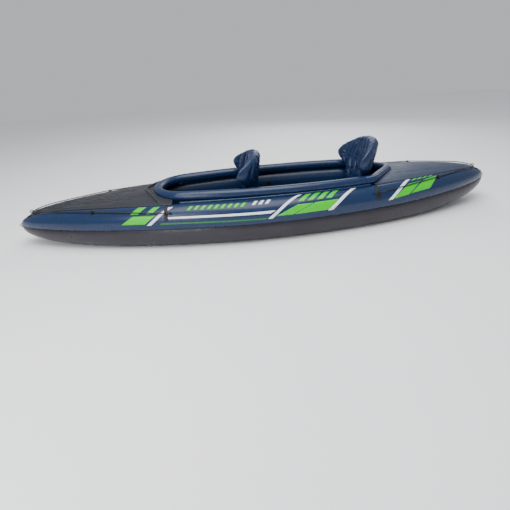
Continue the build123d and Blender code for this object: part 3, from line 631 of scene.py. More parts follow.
@dataclass
class SideChambers:
    """The stacked air chambers of both sides, their waterline welts and printed graphics."""

    maker: Maker
    stations: int = 260
    ring: int = 64
    web: int = 5
    welt_radius: float = 0.0024

    def build(self) -> None:
        """Make all four chambers, two welts and the graphics."""
        for side in Side:
            mirror = side is Side.STARBOARD
            self._upper(side, mirror)
            self._lower(side, mirror)
            self._welt(side)
            Graphics(self.maker, side).build()

    def _upper(self, side: Side, mirror: bool) -> None:
        """Make one upper chamber.

        Args:
            side: the side it lies on.
            mirror: whether it is flipped from the port side.
        """
        verts: list[Vector] = []
        start, end = -HULL.web_angle, 180 + HULL.web_angle
        for x in HULL.stations(self.stations):
            row = [HULL.on_upper(x, start + (end - start) * j / (self.ring - 1)) for j in range(self.ring)]
            row += [row[-1].lerp(row[0], k / (self.web + 1)) for k in range(1, self.web + 1)]
            verts += row
        self._close(verts, f"{side.label}_upper_tube", NAVY_FILM, f"{side.label}_upper_chamber", mirror)

    def _lower(self, side: Side, mirror: bool) -> None:
        """Make one lower chamber, with the film's tension folds under the seam.

        Args:
            side: the side it lies on.
            mirror: whether it is flipped from the port side.
        """
        verts: list[Vector] = []
        start, end = HULL.web_angle, -180 - HULL.web_angle
        for x in HULL.stations(self.stations):
            y, z, width, height = HULL.lower(x)
            fade = min(1.0, width / 60)
            row = []
            for j in range(self.ring):
                angle = start + (end - start) * j / (self.ring - 1)
                off = HULL.relief(x + 140, -angle) * fade
                near = math.exp(-abs(start - angle) / 14) * (0.5 + HULL.share(x, 300.0))
                off += near * fade * 1.6 * abs(math.sin(x / 7.5 + 2 * smooth_noise(x * 0.02, 8.0)))
                turn = math.radians(angle)
                low = z + (height - 0.15 + off) * math.sin(turn)
                row.append(Vector((x, y + (width + off) * math.cos(turn), max(low, HULL.keel_z(x)))) * MM)
            row += [row[-1].lerp(row[0], k / (self.web + 1)) for k in range(1, self.web + 1)]
            verts += row
        self._close(verts, f"{side.label}_lower_tube", CHARCOAL_FILM, f"{side.label}_lower_chamber", mirror)

    def _close(self, verts: list[Vector], name: str, finish: Finish, node: str, mirror: bool) -> None:
        """Close a tube's rings and noses and make the piece.

        Args:
            verts: the tube's rings, one after the other.
            name: the piece's name.
            finish: its finish.
            node: the CAD node that it stands for.
            mirror: whether to flip it to starboard.
        """
        count = self.ring + self.web
        faces = grid_faces(self.stations, count, True)
        faces += [tuple(range(count)), tuple(range(len(verts) - count, len(verts)))]
        self.maker.piece(name, verts, faces, finish, "hull", (node,), mirror)

    def _welt(self, side: Side) -> None:
        """Make the welded flange that shows as a thin line between navy and charcoal film.

        Args:
            side: the side it lies on.
        """
        path = []
        for x in HULL.stations(self.stations):
            y, z, width, _ = HULL.upper(x)
            out = width * math.cos(math.radians(HULL.web_angle)) + 0.6
            path.append(Vector((x, side.value * (y + out), HULL.seam_z(x))) * MM)
        self.maker.tube(f"{side.label}_waterline_welt", path,
                        lambda run, angle: self.welt_radius * (0.55 + 0.45 * abs(math.cos(angle))),
                        CHARCOAL_FILM, ring=10)


@dataclass
class Graphics:
    """Printed bars and slashes along one side, as thin films on the upper chamber.

    Each bar is four corners of (x in millimetres, share of the girth from seam to crest).
    """

    maker: Maker
    side: Side
    lift: float = 0.35

    def build(self) -> None:
        """Make the three inks of this side."""
        self._ink("green_print", GREEN_INK, self._green())
        self._ink("white_print", WHITE_INK, self._white())
        self._ink("shadow_print", DARK_GREEN_INK, self._shadow())

    def _bar(self, x: float, low: float, wide: float, slant: float, high: float) -> list[tuple[float, float]]:
        """A slanted bar from its forward low corner, its width and its lean aft."""
        return [(x, low), (x - wide, low), (x - wide - slant, high), (x - slant, high)]

    def _green(self) -> list[list[tuple[float, float]]]:
        """List the bright green blocks and bars of the bow, middle and stern groups.

        Returns:
            The corners of each bar.
        """
        bars = [
            [(1072, 0.25), (904, 0.25), (828, 0.53), (985, 0.53)],
            self._bar(1003, 0.60, 57, 57, 0.93),
            self._bar(890, 0.60, 43, 53, 0.90),
            [(-6, 0.25), (-121, 0.25), (-279, 0.56), (-164, 0.56)],
            [(-132, 0.25), (-385, 0.27), (-467, 0.58), (-294, 0.57)],
            [(-902, 0.28), (-1033, 0.33), (-1166, 0.76), (-1042, 0.72)],
            [(-1051, 0.35), (-1227, 0.39), (-1338, 0.88), (-1194, 0.78)],
        ]
        bars += [self._bar(-167 - 69 * i, 0.66, 43, 78, 1.03) for i in range(4)]
        bars += [self._bar(-1088 - 52 * i, 0.88 + 0.01 * i, 30, 70, 1.08) for i in range(4)]
        bars += [self._bar(610 - 46 * i, 0.66, 24, 26, 0.84) for i in range(9)]
        return bars

    def _white(self) -> list[list[tuple[float, float]]]:
        """List the white slashes between the groups and the long line amidships.

        Returns:
            The corners of each bar.
        """
        bars = [
            self._bar(894, 0.20, 31, 162, 0.84),
            [(755, 0.40), (33, 0.36), (-4, 0.44), (746, 0.46)],
            self._bar(56, 0.18, 32, 246, 1.06),
            self._bar(-377, 0.24, 38, 233, 1.07),
            self._bar(-855, 0.26, 38, 222, 1.08),
        ]
        bars += [self._bar(160 - 46 * i, 0.70, 24, 26, 0.88) for i in range(3)]
        return bars

    def _shadow(self) -> list[list[tuple[float, float]]]:
        """The thin dark green line under the long white one."""
        return [[(804, 0.22), (70, 0.18), (55, 0.22), (794, 0.27)]]

    def _ink(self, name: str, finish: Finish, bars: list[list[tuple[float, float]]]) -> None:
        """Lay the bars of one ink on the chamber.

        Args:
            name: the ink's name.
            finish: its finish.
            bars: corners of each bar.
        """
        verts: list[Vector] = []
        faces: Faces = []
        for bar in bars:
            a, b, c, d = [Vector(corner) for corner in bar]
            along = max(3, int((a - b).length / 7))
            up = max(6, int((d.y - a.y) * 150 / 5))
            for level, thickness in enumerate((self.lift, -0.6)):
                for i in range(up + 1):
                    for j in range(along + 1):
                        low, high = a.lerp(b, j / along), d.lerp(c, j / along)
                        spot = low.lerp(high, i / up)
                        angle = -HULL.web_angle + (90 + HULL.web_angle) * spot.y
                        point = HULL.on_upper(spot.x, angle, thickness)
                        verts.append(Vector((point.x, point.y * self.side.value, point.z)))
            faces += closed_slab(up + 1, along + 1, len(verts) - 2 * (up + 1) * (along + 1))
        self.maker.piece(f"{self.side.label}_{name}", verts, faces, finish)


# ------------------------------------------------------------------ cockpit coaming
@dataclass
class Coaming:
    """The inflated cockpit rim: a tube on one smooth plan line, pointed at the rear."""

    maker: Maker
    node: str = "cockpit_coaming"
    radius: float = 37.0
    inset: float = 155.0
    widest_x: float = -150.0
    front: tuple[float, float] = (842.0, 240.0)
    corner: tuple[float, float] = (-740.0, 120.0)
    apex: tuple[float, float] = (-1035.0, 60.0)
    clearance: float = 0.3
    arc_step: float = 9.0
    fillet_reach: tuple[float, float] = (-742.0, 655.0)
    fillet_radius: float = 8.8
    fillet_gap: float = 6.0
    fillet_rise: float = 5.5
    piping_radius: float = 0.0016

    def side_arc(self) -> tuple[Vector, float]:
        """Find the long side arc, in plan.

        Returns:
            Its centre and its radius, in millimetres.
        """
        widest = HULL.half_beam(self.widest_x) - self.inset
        run = self.front[0] - self.front[1] - self.widest_x
        bend = (run ** 2 + widest ** 2 - self.front[1] ** 2) / (2 * (widest - self.front[1]))
        return Vector((self.widest_x, widest - bend)), bend

    def half_line(self) -> list[Vector]:
        """Draw the port half of the centre line in plan, from arcs and one straight run.

        Returns:
            Points from the front to the rear, in millimetres.
        """
        side_centre, bend = self.side_arc()
        front_centre = Vector((self.front[0] - self.front[1], 0))
        toward = (front_centre - side_centre).normalized()
        front_end = front_centre + toward * self.front[1]
        corner_x, corner_bend = self.corner
        rise = math.sqrt(bend ** 2 - (corner_x - side_centre.x) ** 2)
        corner = Vector((corner_x, side_centre.y + rise))
        corner_centre = side_centre + (corner - side_centre).normalized() * (bend - corner_bend)
        apex = Vector((self.apex[0], 0))
        reach = (corner_centre - apex).length
        slope = math.atan2(corner_centre.y, corner_centre.x - apex.x) + math.asin(corner_bend / reach)
        corner_end = corner_centre + Vector((-math.sin(slope), math.cos(slope))) * corner_bend
        apex_bend = self.apex[1]
        apex_start = apex + Vector((math.cos(slope), math.sin(slope))) * (apex_bend / math.tan(slope))
        apex_centre = Vector((apex.x + apex_bend / math.sin(slope), 0))
        line = self._arc(front_centre, Vector((self.front[0], 0)), front_end)
        line += self._arc(side_centre, front_end, corner)[1:]
        line += self._arc(corner_centre, corner, corner_end)[1:]
        steps = max(2, int((apex_start - corner_end).length / self.arc_step))
        line += [corner_end.lerp(apex_start, k / steps) for k in range(1, steps + 1)]
        line += self._arc(apex_centre, apex_start, apex_centre - Vector((apex_bend, 0)))[1:]
        return line

    def _arc(self, centre: Vector, start: Vector, end: Vector) -> list[Vector]:
        """Draw the shorter arc between two points.

        Args:
            centre: the arc's centre.
            start: where it starts.
            end: where it ends.

        Returns:
            Points along the arc, about one arc_step apart.
        """
        first = math.atan2(start.y - centre.y, start.x - centre.x)
        turn = math.atan2(end.y - centre.y, end.x - centre.x) - first
        turn = (turn + math.pi) % (2 * math.pi) - math.pi
        size = (start - centre).length
        steps = max(3, int(abs(turn) * size / self.arc_step))
        angles = [first + turn * k / steps for k in range(steps + 1)]
        return [centre + Vector((math.cos(angle), math.sin(angle))) * size for angle in angles]

    def line(self) -> list[Vector]:
        """Draw the whole centre line at the height of the rim's node.

        Returns:
            Points round the rim, in metres.
        """
        low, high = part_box(self.node)
        level = (low[2] + high[2]) / 2
        half = self.half_line()
        plan = half + [Vector((p.x, -p.y)) for p in reversed(half[1:-1])]
        return [Vector((p.x * MM, p.y * MM, level)) for p in plan]

    def edge(self, x_sign: int, y: float) -> float:
        """Find where a deck stops ahead of or behind the rim.

        Args:
            x_sign: 1 at the bow, -1 at the stern.
            y: distance from the middle line, in millimetres.

        Returns:
            The deck's first x there, in millimetres.
        """
        reach = self.radius + self.clearance
        edges = [p.x + x_sign * math.sqrt(reach ** 2 - (abs(y) - p.y) ** 2)
                 for p in self.half_line() if abs(abs(y) - p.y) < reach]
        return x_sign * max(x_sign * e for e in edges) if edges else x_sign * -1e9

    def build(self) -> None:
        """Make the rim with its inner and outer weld seams, and the pale piping at its rear, coloured as a
        painted highlight.
        """
        path = self.line()
        count = len(path)
        bends = []
        for i, here in enumerate(path):
            before, after = path[i - 2], path[(i + 2) % count]
            bends.append((before - here).angle(here - after, 0.0) / max((after - before).length, 1e-6))

        def radius(run: float, angle: float) -> float:
            """Radius with puckers at both seams, deeper where the rim bends, and soft lumps.

            Args:
                run: length along the rim, in metres.
                angle: angle round the tube, in radians.

            Returns:
                The radius in metres.
            """
            share = min(count - 1, max(0, int(run / 0.009)))
            bend = min(1.0, bends[share] * 0.12)
            wander = smooth_noise(run * 9, 2.2) * 2.5
            inner = math.exp(-((abs(angle - math.pi) / 0.75) ** 2))
            outer = math.exp(-((min(angle, 2 * math.pi - angle) / 0.5) ** 2))
            folds = math.sin(run * 330 + wander) * (0.5 + smooth_noise(run * 23, 5.0))
            wide = math.sin(run * 95 + wander * 2) * 0.5
            groove = 1.3 * math.exp(-((abs(angle - math.pi) / 0.09) ** 2))
            lumps = smooth_noise(run * 5, angle * 0.8, 4.0) * 0.7
            lift = (folds + wide) * (inner * (0.5 + 1.3 * bend) + outer * 0.5) + lumps - groove - 0.5
            return (self.radius + lift) * MM

        self.maker.tube("coaming_tube", path, radius, NAVY_FILM, replaces=(self.node,), ring=48, closed=True)
        self._piping(path)
        self._fillets()

    def _fillets(self) -> None:
        """Make the welded film roll in the groove between the rim and each upper chamber."""
        half = self.half_line()
        for side in Side:
            roll = []
            for before, here, after in zip(half, half[1:], half[2:]):
                if not self.fillet_reach[0] < here.x < self.fillet_reach[1]:
                    continue
                along = (after - before).normalized()
                spot = here + Vector((along.y, -along.x)) * (self.radius + self.fillet_gap)
                y, z, width, height = HULL.upper(spot.x)
                share = min(1.0, abs(spot.y - y) / width)
                top = z + height * math.sqrt(1 - share ** 2)
                roll.append(Vector((spot.x, side.value * spot.y, top + self.fillet_rise)) * MM)
            self.maker.tube(
                f"coaming_{side.label}_fillet", roll,
                lambda run, angle: (
                    self.fillet_radius + 0.5 * math.sin(run * 260) + 0.5 * math.sin(run * 87)) * MM,
                NAVY_FILM, ring=14)

    def _piping(self, path: list[Vector]) -> None:
        """Make the thin welded cord along the crown of the pointed rear part, coloured pale as a painted
        highlight.

        Args:
            path: the rim's centre line, in metres.
        """
        rear = [p for p in path if p.x < self.corner[0] * MM + 0.02]
        raised = []
        for i, here in enumerate(rear):
            along = (rear[min(i + 1, len(rear) - 1)] - rear[max(i - 1, 0)]).normalized()
            outward = Vector((-along.y, along.x, 0))
            outward = outward if outward.dot(here) > 0 else -outward
            raised.append(here + Vector((0, 0, self.radius * 0.86 * MM)) + outward * (self.radius * 0.5 * MM))
        # The cord's pale colour is a painted highlight along the crown.
        self.maker.tube("coaming_rear_piping", raised, lambda run, angle: self.piping_radius,
                        PAINTED_HIGHLIGHT_PIPING, ring=8)


# ------------------------------------------------------------------ bottom skin and floor
@dataclass
class Bottom:
    """The bottom skin and the I-beam floor that lies on it."""

    maker: Maker
    skin: float = 1.6
    skin_end: float = 1700.0
    tubes: int = 7
    pitch: float = 81.0
    base: float = 2.6
    thickness: float = 72.0
    weld_depth: float = 17.0
    front_x: float = 1010.0
    rear_x: float = -1020.0
    clearance: float = 0.3

    def build(self) -> None:
        """Make the skin and the floor."""
        self._skin()
        self._floor()

    def _skin(self) -> None:
        """The charcoal skin between the lower chambers."""
        rows, columns = 180, 25
        verts: list[Vector] = []
        for level in (0.0, self.skin):
            for i in range(rows):
                x = self.skin_end * math.sin(math.pi / 2 * (2 * i / (rows - 1) - 1))
                y, _, width, height = HULL.lower(x)
                rise = (2.0 + self.clearance) / height
                half = y - width * math.sqrt(1 - (1 - rise) ** 2) - 2 * self.clearance
                for j in range(columns):
                    u = 2 * j / (columns - 1) - 1
                    crinkle = max(0.0, smooth_noise(x * 0.02, u * 6, 9.0)) * 0.35 * (1 - u * u)
                    verts.append(Vector((x, u * half, HULL.keel_z(x) + 0.1 + level + crinkle)) * MM)
        faces = closed_slab(rows, columns)
        skin = self.maker.piece("bottom_skin_sheet", verts, faces, CHARCOAL_FILM, replaces=("bottom_skin",))

    def _floor(self) -> None:
        """The floor: side by side tubes with puckered weld valleys, closed at both ends."""
        rows, columns = 330, self.tubes * 16 + 1
        top: list[Vector] = []
        under: list[Vector] = []
        middle = self.base + self.thickness / 2
        for i in range(rows):
            x = self.rear_x + (self.front_x - self.rear_x) * i / (rows - 1)
            y, _, width, _ = HULL.lower(x)
            half = min(self.tubes * self.pitch / 2, y - width - self.clearance)
            end = min(x - self.rear_x, self.front_x - x)
            close = math.sqrt(1 - (1 - min(1.0, end / 55)) ** 2)
            for j in range(columns):
                u = 2 * j / (columns - 1) - 1
                off = half * u
                place = (off / self.pitch + self.tubes / 2) % 1.0
                from_weld = min(place, 1 - place) * self.pitch
                arch = math.sqrt(max(0.0, 1 - (1 - from_weld / (self.pitch / 2)) ** 2))
                arch = 1 - (1 - arch) * 2 * self.weld_depth / self.thickness * 1.15
                edge = (half - abs(off)) / 26
                arch *= math.sqrt(1 - (1 - min(1.0, edge)) ** 2) * close
                wander = smooth_noise(x * 0.012, round(off / self.pitch) * 3.0) * 2
                pucker = math.sin(x / 4.6 + wander) * math.exp(-from_weld / 9) * 1.1
                slack = smooth_noise(x * 0.007, off * 0.02, 6.0) * 1.0
                rise = max(0.02, arch) * self.thickness / 2 + (pucker + slack - 0.5) * close
                top.append(Vector((x, off, middle + rise)) * MM)
                drop = max(0.02, min(1.0, arch * 1.25)) * self.thickness / 2
                under.append(Vector((x, off, middle - drop)) * MM)
        faces = closed_slab(rows, columns)
        floor = self.maker.piece("floor_tubes", top + under, faces, BLACK_FILM, replaces=("floor_mat",))


# ------------------------------------------------------------------ decks
@dataclass
class Deck:
    """A deck cloth stretched over the crests of both chambers, with its edge piping."""

    maker: Maker
    coaming: Coaming
    end: End
    finish: Finish
    start: float
    cockpit_crown: float
    wrinkle: float
    tip_crown: float = 6.0
    tip_x: float = 1790.0
    tip_plate: float = 40.0
    lift: float = 0.9
    thickness: float = 4.0
    cloth: float = 1.5
    setback: float = 1.0

    @property
    def stop(self) -> float:
        """Where the deck ends at the tip plate."""
        return self.end.value * (self.tip_x - self.tip_plate / 2 - 0.6)

    def half_width(self, x: float) -> float:
        """Half the deck's width at x."""
        return HULL.upper(x)[0] - self.setback

    def top(self, x: float, y: float) -> float:
        """Height of the deck's upper face.

        Args:
            x: place along the hull, in millimetres.
            y: distance from the middle line, in millimetres.

        Returns:
            The height in millimetres.
        """
        crown = self.cockpit_crown + (self.tip_crown - self.cockpit_crown) * (x - self.start) / (
            self.stop - self.start)
        rise = crown * (1 - (y / self.half_width(x)) ** 2)
        return HULL.crest_z(x) + self.lift + rise + self.thickness

    def _first(self, u: float) -> float:
        """Find where the deck begins along a line of constant share of its width.

        Args:
            u: share of the half width, from 0 to 1.

        Returns:
            The first x, clear of the coaming, in millimetres.
        """
        x = self.start
        for _ in range(12):
            edge = self.coaming.edge(self.end.value, u * self.half_width(x))
            x = self.end.value * max(self.end.value * self.start, self.end.value * edge)
        return x

    def _crease(self, x: float, u: float) -> float:
        """Height of the creases, which run together towards the tip.

        Args:
            x: place along the hull, in millimetres.
            u: share of the half width, from -1 to 1.

        Returns:
            The height in millimetres.
        """
        fan = smooth_noise(x * 0.0035, u * 4.5, 1.0) * 1.0
        fan += (abs(smooth_noise(x * 0.010, u * 9.0, 2.0)) * 2 - 0.6) * 0.55
        fine = (abs(smooth_noise(x * 0.028, u * 17.0, 3.0)) * 2 - 0.6) * 0.30
        slip = smooth_noise(x * 0.006, u * 3.0, 5.0) * 2.0
        for lean in (-1.0, 1.0):
            ridge = 1 - abs(math.sin(u * 16.0 + lean * x * 0.021 + slip))
            fine += 0.55 * ridge ** 3 * (0.6 + smooth_noise(x * 0.01, u * 5.0, 7.0 + lean))
        edge = 1 - abs(u) ** 6
        return (fan + fine) * edge * self.wrinkle

    def build(self) -> None:
        """Make the cloth, its cockpit piping and its two edge welts."""
        rows, columns = 150, 81
        shares = [2 * j / (columns - 1) - 1 for j in range(columns)]
        firsts = [self._first(abs(u)) for u in shares]
        upper: list[Vector] = []
        lower: list[Vector] = []
        for i in range(rows):
            for u, first in zip(shares, firsts):
                x = first + (self.stop - first) * (i / (rows - 1))
                y = u * self.half_width(x)
                z = self.top(x, y) + self._crease(x, u) - 0.9
                upper.append(Vector((x, y, z)) * MM)
                lower.append(Vector((x, y, z - self.cloth)) * MM)
        name = f"{self.end.label}_deck"
        cloth = self.maker.piece(f"{name}_cloth", upper + lower, closed_slab(rows, columns),
                                 self.finish, replaces=(name,))
        wide = max(self.half_width(x) for x in firsts) * 2 * MM * 1.03
        edge = [upper[j] - Vector((0, 0, 0.0004)) for j in range(columns)]
        self.maker.tube(f"{name}_cockpit_piping", edge, lambda run, angle: 0.0028, PIPING_CLOTH, ring=10)
        for side in Side:
            column = columns - 1 if side is Side.PORT else 0
            welt = [upper[i * columns + column] - Vector((0, 0, 0.0022)) for i in range(rows)]
            self.maker.tube(f"{name}_{side.label}_welt", welt,
                            lambda run, angle: 0.0026 + 0.0003 * math.sin(run * 700), PIPING_CLOTH, ring=8)


@dataclass
class SplashRidge:
    """The V-shaped piped fold that sheds water ahead of the cockpit."""

    maker: Maker
    deck: Deck
    apex_x: float = 935.0
    end_x: float = 812.0
    end_setback: float = 20.0
    radius: float = 9.0

    def build(self) -> None:
        """Make the fold and the sewn flange on each side of it."""
        reach = self.deck.half_width(self.end_x) - self.end_setback
        crest: list[Vector] = []
        steps = 110
        soft = 0.16
        for i in range(steps + 1):
            s = 2 * i / steps - 1
            part = math.sqrt(s * s + soft * soft) - soft * max(0.0, 1 - abs(s))
            x = self.apex_x + (self.end_x - self.apex_x) * part
            y = s * reach
            crest.append(Vector((x, y, self.deck.top(x, y) + self.radius + 0.2)) * MM)

        def radius(run: float, angle: float) -> float:
            """Radius of the padded fold, puckered along its stitches and tapered at its ends.

            Args:
                run: length along the fold, in metres.
                angle: angle round it, in radians.

            Returns:
                The radius in metres.
            """
            total = 2 * math.hypot(self.apex_x - self.end_x, reach) * MM
            close = math.sqrt(max(0.08, min(1.0, min(run, total * 0.985 - run) / 0.03)))
            low = max(0.0, -math.sin(angle))
            pucker = math.sin(run * 520) * 0.5 + smooth_noise(run * 40, angle, 2.0) * 0.9
            return (self.radius * (1 + 0.02 * low) + pucker - 0.4) * close * MM

        self.maker.tube("splash_ridge_fold", crest, radius, DECK_CLOTH,
                        replaces=("bow_splash_ridge",), ring=20)
        flange: list[Vector] = []
        for x_off in (15.0, -15.0):
            for level in (0.3, -0.7):
                for point in crest:
                    x, y = point.x / MM + x_off, point.y / MM
                    flange.append(Vector((x, y, self.deck.top(x, y) + level)) * MM)
        count = steps + 1
        order = [0, 2, 3, 1]
        verts = [flange[order[k] * count + i] for i in range(count) for k in range(4)]
        faces = grid_faces(count, 4, True) + [(0, 1, 2, 3), tuple(range(4 * count - 4, 4 * count))]
        self.maker.piece("splash_ridge_flange", verts, faces, PIPING_CLOTH)


# ------------------------------------------------------------------ seats
@dataclass
class Inflator:
    """Blows up a welded piece with cloth: channels and edge seams are held, the film between bulges."""

    pressure: float = 4.0
    growth: float = -0.035
    frames: int = 20
    cap: float = 0.005

    def inflate(self, obj: bpy.types.Object, held: Sequence[float]) -> None:
        """Run the cloth and keep its shape, with no point moved further than the cap.

        Args:
            obj: the piece, with dense and even faces.
            held: how firmly each vertex is held, from 0 to 1.
        """
        mesh = obj.data
        before = np.array([v.co[:] for v in mesh.vertices])
        group = obj.vertex_groups.new(name="welds")
        for index, weight in enumerate(held):
            if weight > 0.01:
                group.add([index], float(min(1.0, weight)), "REPLACE")
        cloth = obj.modifiers.new("inflate", "CLOTH")
        cloth.settings.vertex_group_mass = "welds"
        cloth.settings.use_pressure = True
        cloth.settings.uniform_pressure_force = self.pressure
        cloth.settings.shrink_min = self.growth
        cloth.settings.effector_weights.gravity = 0.0
        cloth.settings.quality = 5
        cloth.settings.tension_stiffness = 40
        cloth.settings.bending_stiffness = 0.4
        cloth.collision_settings.use_collision = False
        scene = bpy.context.scene
        for number in range(1, self.frames + 1):
            scene.frame_set(number)
        shape = obj.evaluated_get(bpy.context.evaluated_depsgraph_get()).to_mesh()
        after = np.array([v.co[:] for v in shape.vertices])
        obj.evaluated_get(bpy.context.evaluated_depsgraph_get()).to_mesh_clear()
        obj.modifiers.remove(cloth)
        obj.vertex_groups.remove(group)
        scene.frame_set(1)
        step = after - before
        size = np.linalg.norm(step, axis=1, keepdims=True)
        step *= np.minimum(1.0, self.cap / np.maximum(size, 1e-9))
        for vertex, place in zip(mesh.vertices, before + step):
            vertex.co = place
        LOG.info("inflated %s, largest move %.1f mm", obj.name, float(size.max()) * 1000)


def disc_point(a: float, b: float) -> tuple[float, float]:
    """Map a square from -1 to 1 on to the unit disc, with even quads.

    Args:
        a: first coordinate.
        b: second coordinate.

    Returns:
        The distance from the middle and the direction in radians.
    """
    if a == 0 and b == 0:
        return 0.0, 0.0
    if abs(a) >= abs(b):
        distance, turn = a, math.pi / 4 * b / a
    else:
        distance, turn = b, math.pi / 2 - math.pi / 4 * a / b
    return (distance, turn) if distance > 0 else (-distance, turn + math.pi)


@dataclass
class Padded:
    """A welded inflatable piece: two faces of film joined round an outline, with welded channels."""

    maker: Maker
    inflator: Inflator
    name: str
    body: str
    node: str
    grid: int = 96
    rim: float = 0.05

    def outline(self, turn: float) -> float:
        """Distance of the outline from the piece's middle.

        Args:
            turn: the direction, in radians.

        Returns:
            The distance in millimetres.
        """
        raise NotImplementedError

    def place(self, across: float, along: float, side: int, puff: float) -> Vector:
        """Where a point of one face lies, in millimetres."""
        raise NotImplementedError

    def channel(self, across: float, along: float) -> tuple[float, float]:
        """Distance to the nearest weld over half the rib's width, and that half width."""
        raise NotImplementedError

    def rounding(self, side: int) -> float:
        """How far in from its outline a face takes to reach its full height."""
        raise NotImplementedError

    def build(self) -> bpy.types.Object:
        """Returns:
            The finished piece.
        """
        verts: list[Vector] = []
        held: list[float] = []
        count = self.grid + 1
        for side in (1, -1):
            for i in range(count):
                for j in range(count):
                    reach, turn = disc_point(2 * i / self.grid - 1, 2 * j / self.grid - 1)
                    edge = self.outline(turn)
                    across, along = reach * edge * math.cos(turn), reach * edge * math.sin(turn)
                    in_from_edge = (1 - reach) * edge
                    swell = math.sqrt(1 - (1 - min(1.0, in_from_edge / self.rounding(side))) ** 2)
                    from_weld, width = self.channel(across, along)
                    arch = math.sqrt(max(0.0, 1 - (1 - min(1.0, from_weld)) ** 2))
                    puff = max(self.rim, swell * (1 - (1 - arch) * 0.42))
                    verts.append(self.place(across, along, side, puff) * MM)
                    weld = math.exp(-((from_weld * width / 5.0) ** 2))
                    border = math.exp(-((in_from_edge / 5.0) ** 2))
                    held.append(max(weld, border))
        welded = self._pucker(verts, held)
        obj = self.maker.piece(self.name, welded, closed_slab(count, count), SEAT_FILM, self.body,
                               (self.node,))
        if len(obj.data.vertices) == len(held):
            self.inflator.inflate(obj, held)
        return obj

    def _pucker(self, verts: list[Vector], held: list[float]) -> list[Vector]:
        """Add the small gathers that run out from the welds.

        Args:
            verts: the points in metres.
            held: how firmly each is held, from 0 to 1.

        Returns:
            The moved points.
        """
        result = []
        for point, weight in zip(verts, held):
            gather = math.sin(point.x * 700 + point.z * 480 + point.y * 90) * 0.0007 * min(1.0, weight * 1.6)
            soft = smooth_noise(point.x * 24, point.y * 24, point.z * 24) * 0.0012 * (1 - weight)
            result.append(point + Vector((0.3, 0.0, 1.0)) * (gather + soft))
        return result


@dataclass
class Cushion(Padded):
    """A seat cushion of ribs that run fore and aft."""

    rear_x: float = 0.0
    length: float = 400.0
    width: float = 450.0
    pitch: float = 90.0
    base: float = 78.5
    thickness: float = 84.0
    corner: float = 60.0

    def outline(self, turn: float) -> float:
        """Distance to a rounded rectangle about the cushion's middle.

        Args:
            turn: the direction, in radians.

        Returns:
            The distance in millimetres.
        """
        c, s = abs(math.cos(turn)), abs(math.sin(turn))
        half_y, half_x = self.width / 2, self.length / 2
        flat = min(half_y / max(c, 1e-6), half_x / max(s, 1e-6))
        y, x = flat * c, flat * s
        in_y, in_x = half_y - self.corner, half_x - self.corner
        if y <= in_y or x <= in_x:
            return flat
        ahead = in_y * c + in_x * s
        return ahead + math.sqrt(max(0.0, self.corner ** 2 - (in_y * s - in_x * c) ** 2))

    def channel(self, across: float, along: float) -> tuple[float, float]:
        """Place a point among the ribs, which lie side by side across the seat.

        Args:
            across: distance across from the middle, in millimetres.
            along: distance forward of the middle, in millimetres; not used.

        Returns:
            Distance to the nearest weld over half the rib's width, and that half width.
        """
        place = (across / self.pitch + 0.5) % 1.0
        outer_half = abs(across) > self.width / 2 - self.pitch / 2
        beyond = place > 0.5 if across > 0 else place < 0.5
        from_weld = 1.0 if outer_half and beyond else min(place, 1 - place) * 2
        return from_weld, self.pitch / 2

    def rounding(self, side: int) -> float:
        """The top swells over its whole edge; the underside lies flat sooner."""
        return 46.0 if side > 0 else 30.0

    def place(self, across: float, along: float, side: int, puff: float) -> Vector:
        """Lay a point on a level face, with the middle halfway up the cushion.

        Args:
            across: distance across from the middle, in millimetres.
            along: distance forward of the middle, in millimetres.
            side: 1 for the top and -1 for the underside.
            puff: share of the full height.

        Returns:
            The point in millimetres.
        """
        middle = self.base + self.thickness / 2
        lift = puff * (self.thickness / 2 - 1.5)
        if side < 0:
            lift = min(lift * 1.3, self.thickness / 2 - 0.5)
        return Vector((self.rear_x + self.length / 2 + along, across, middle + side * lift))


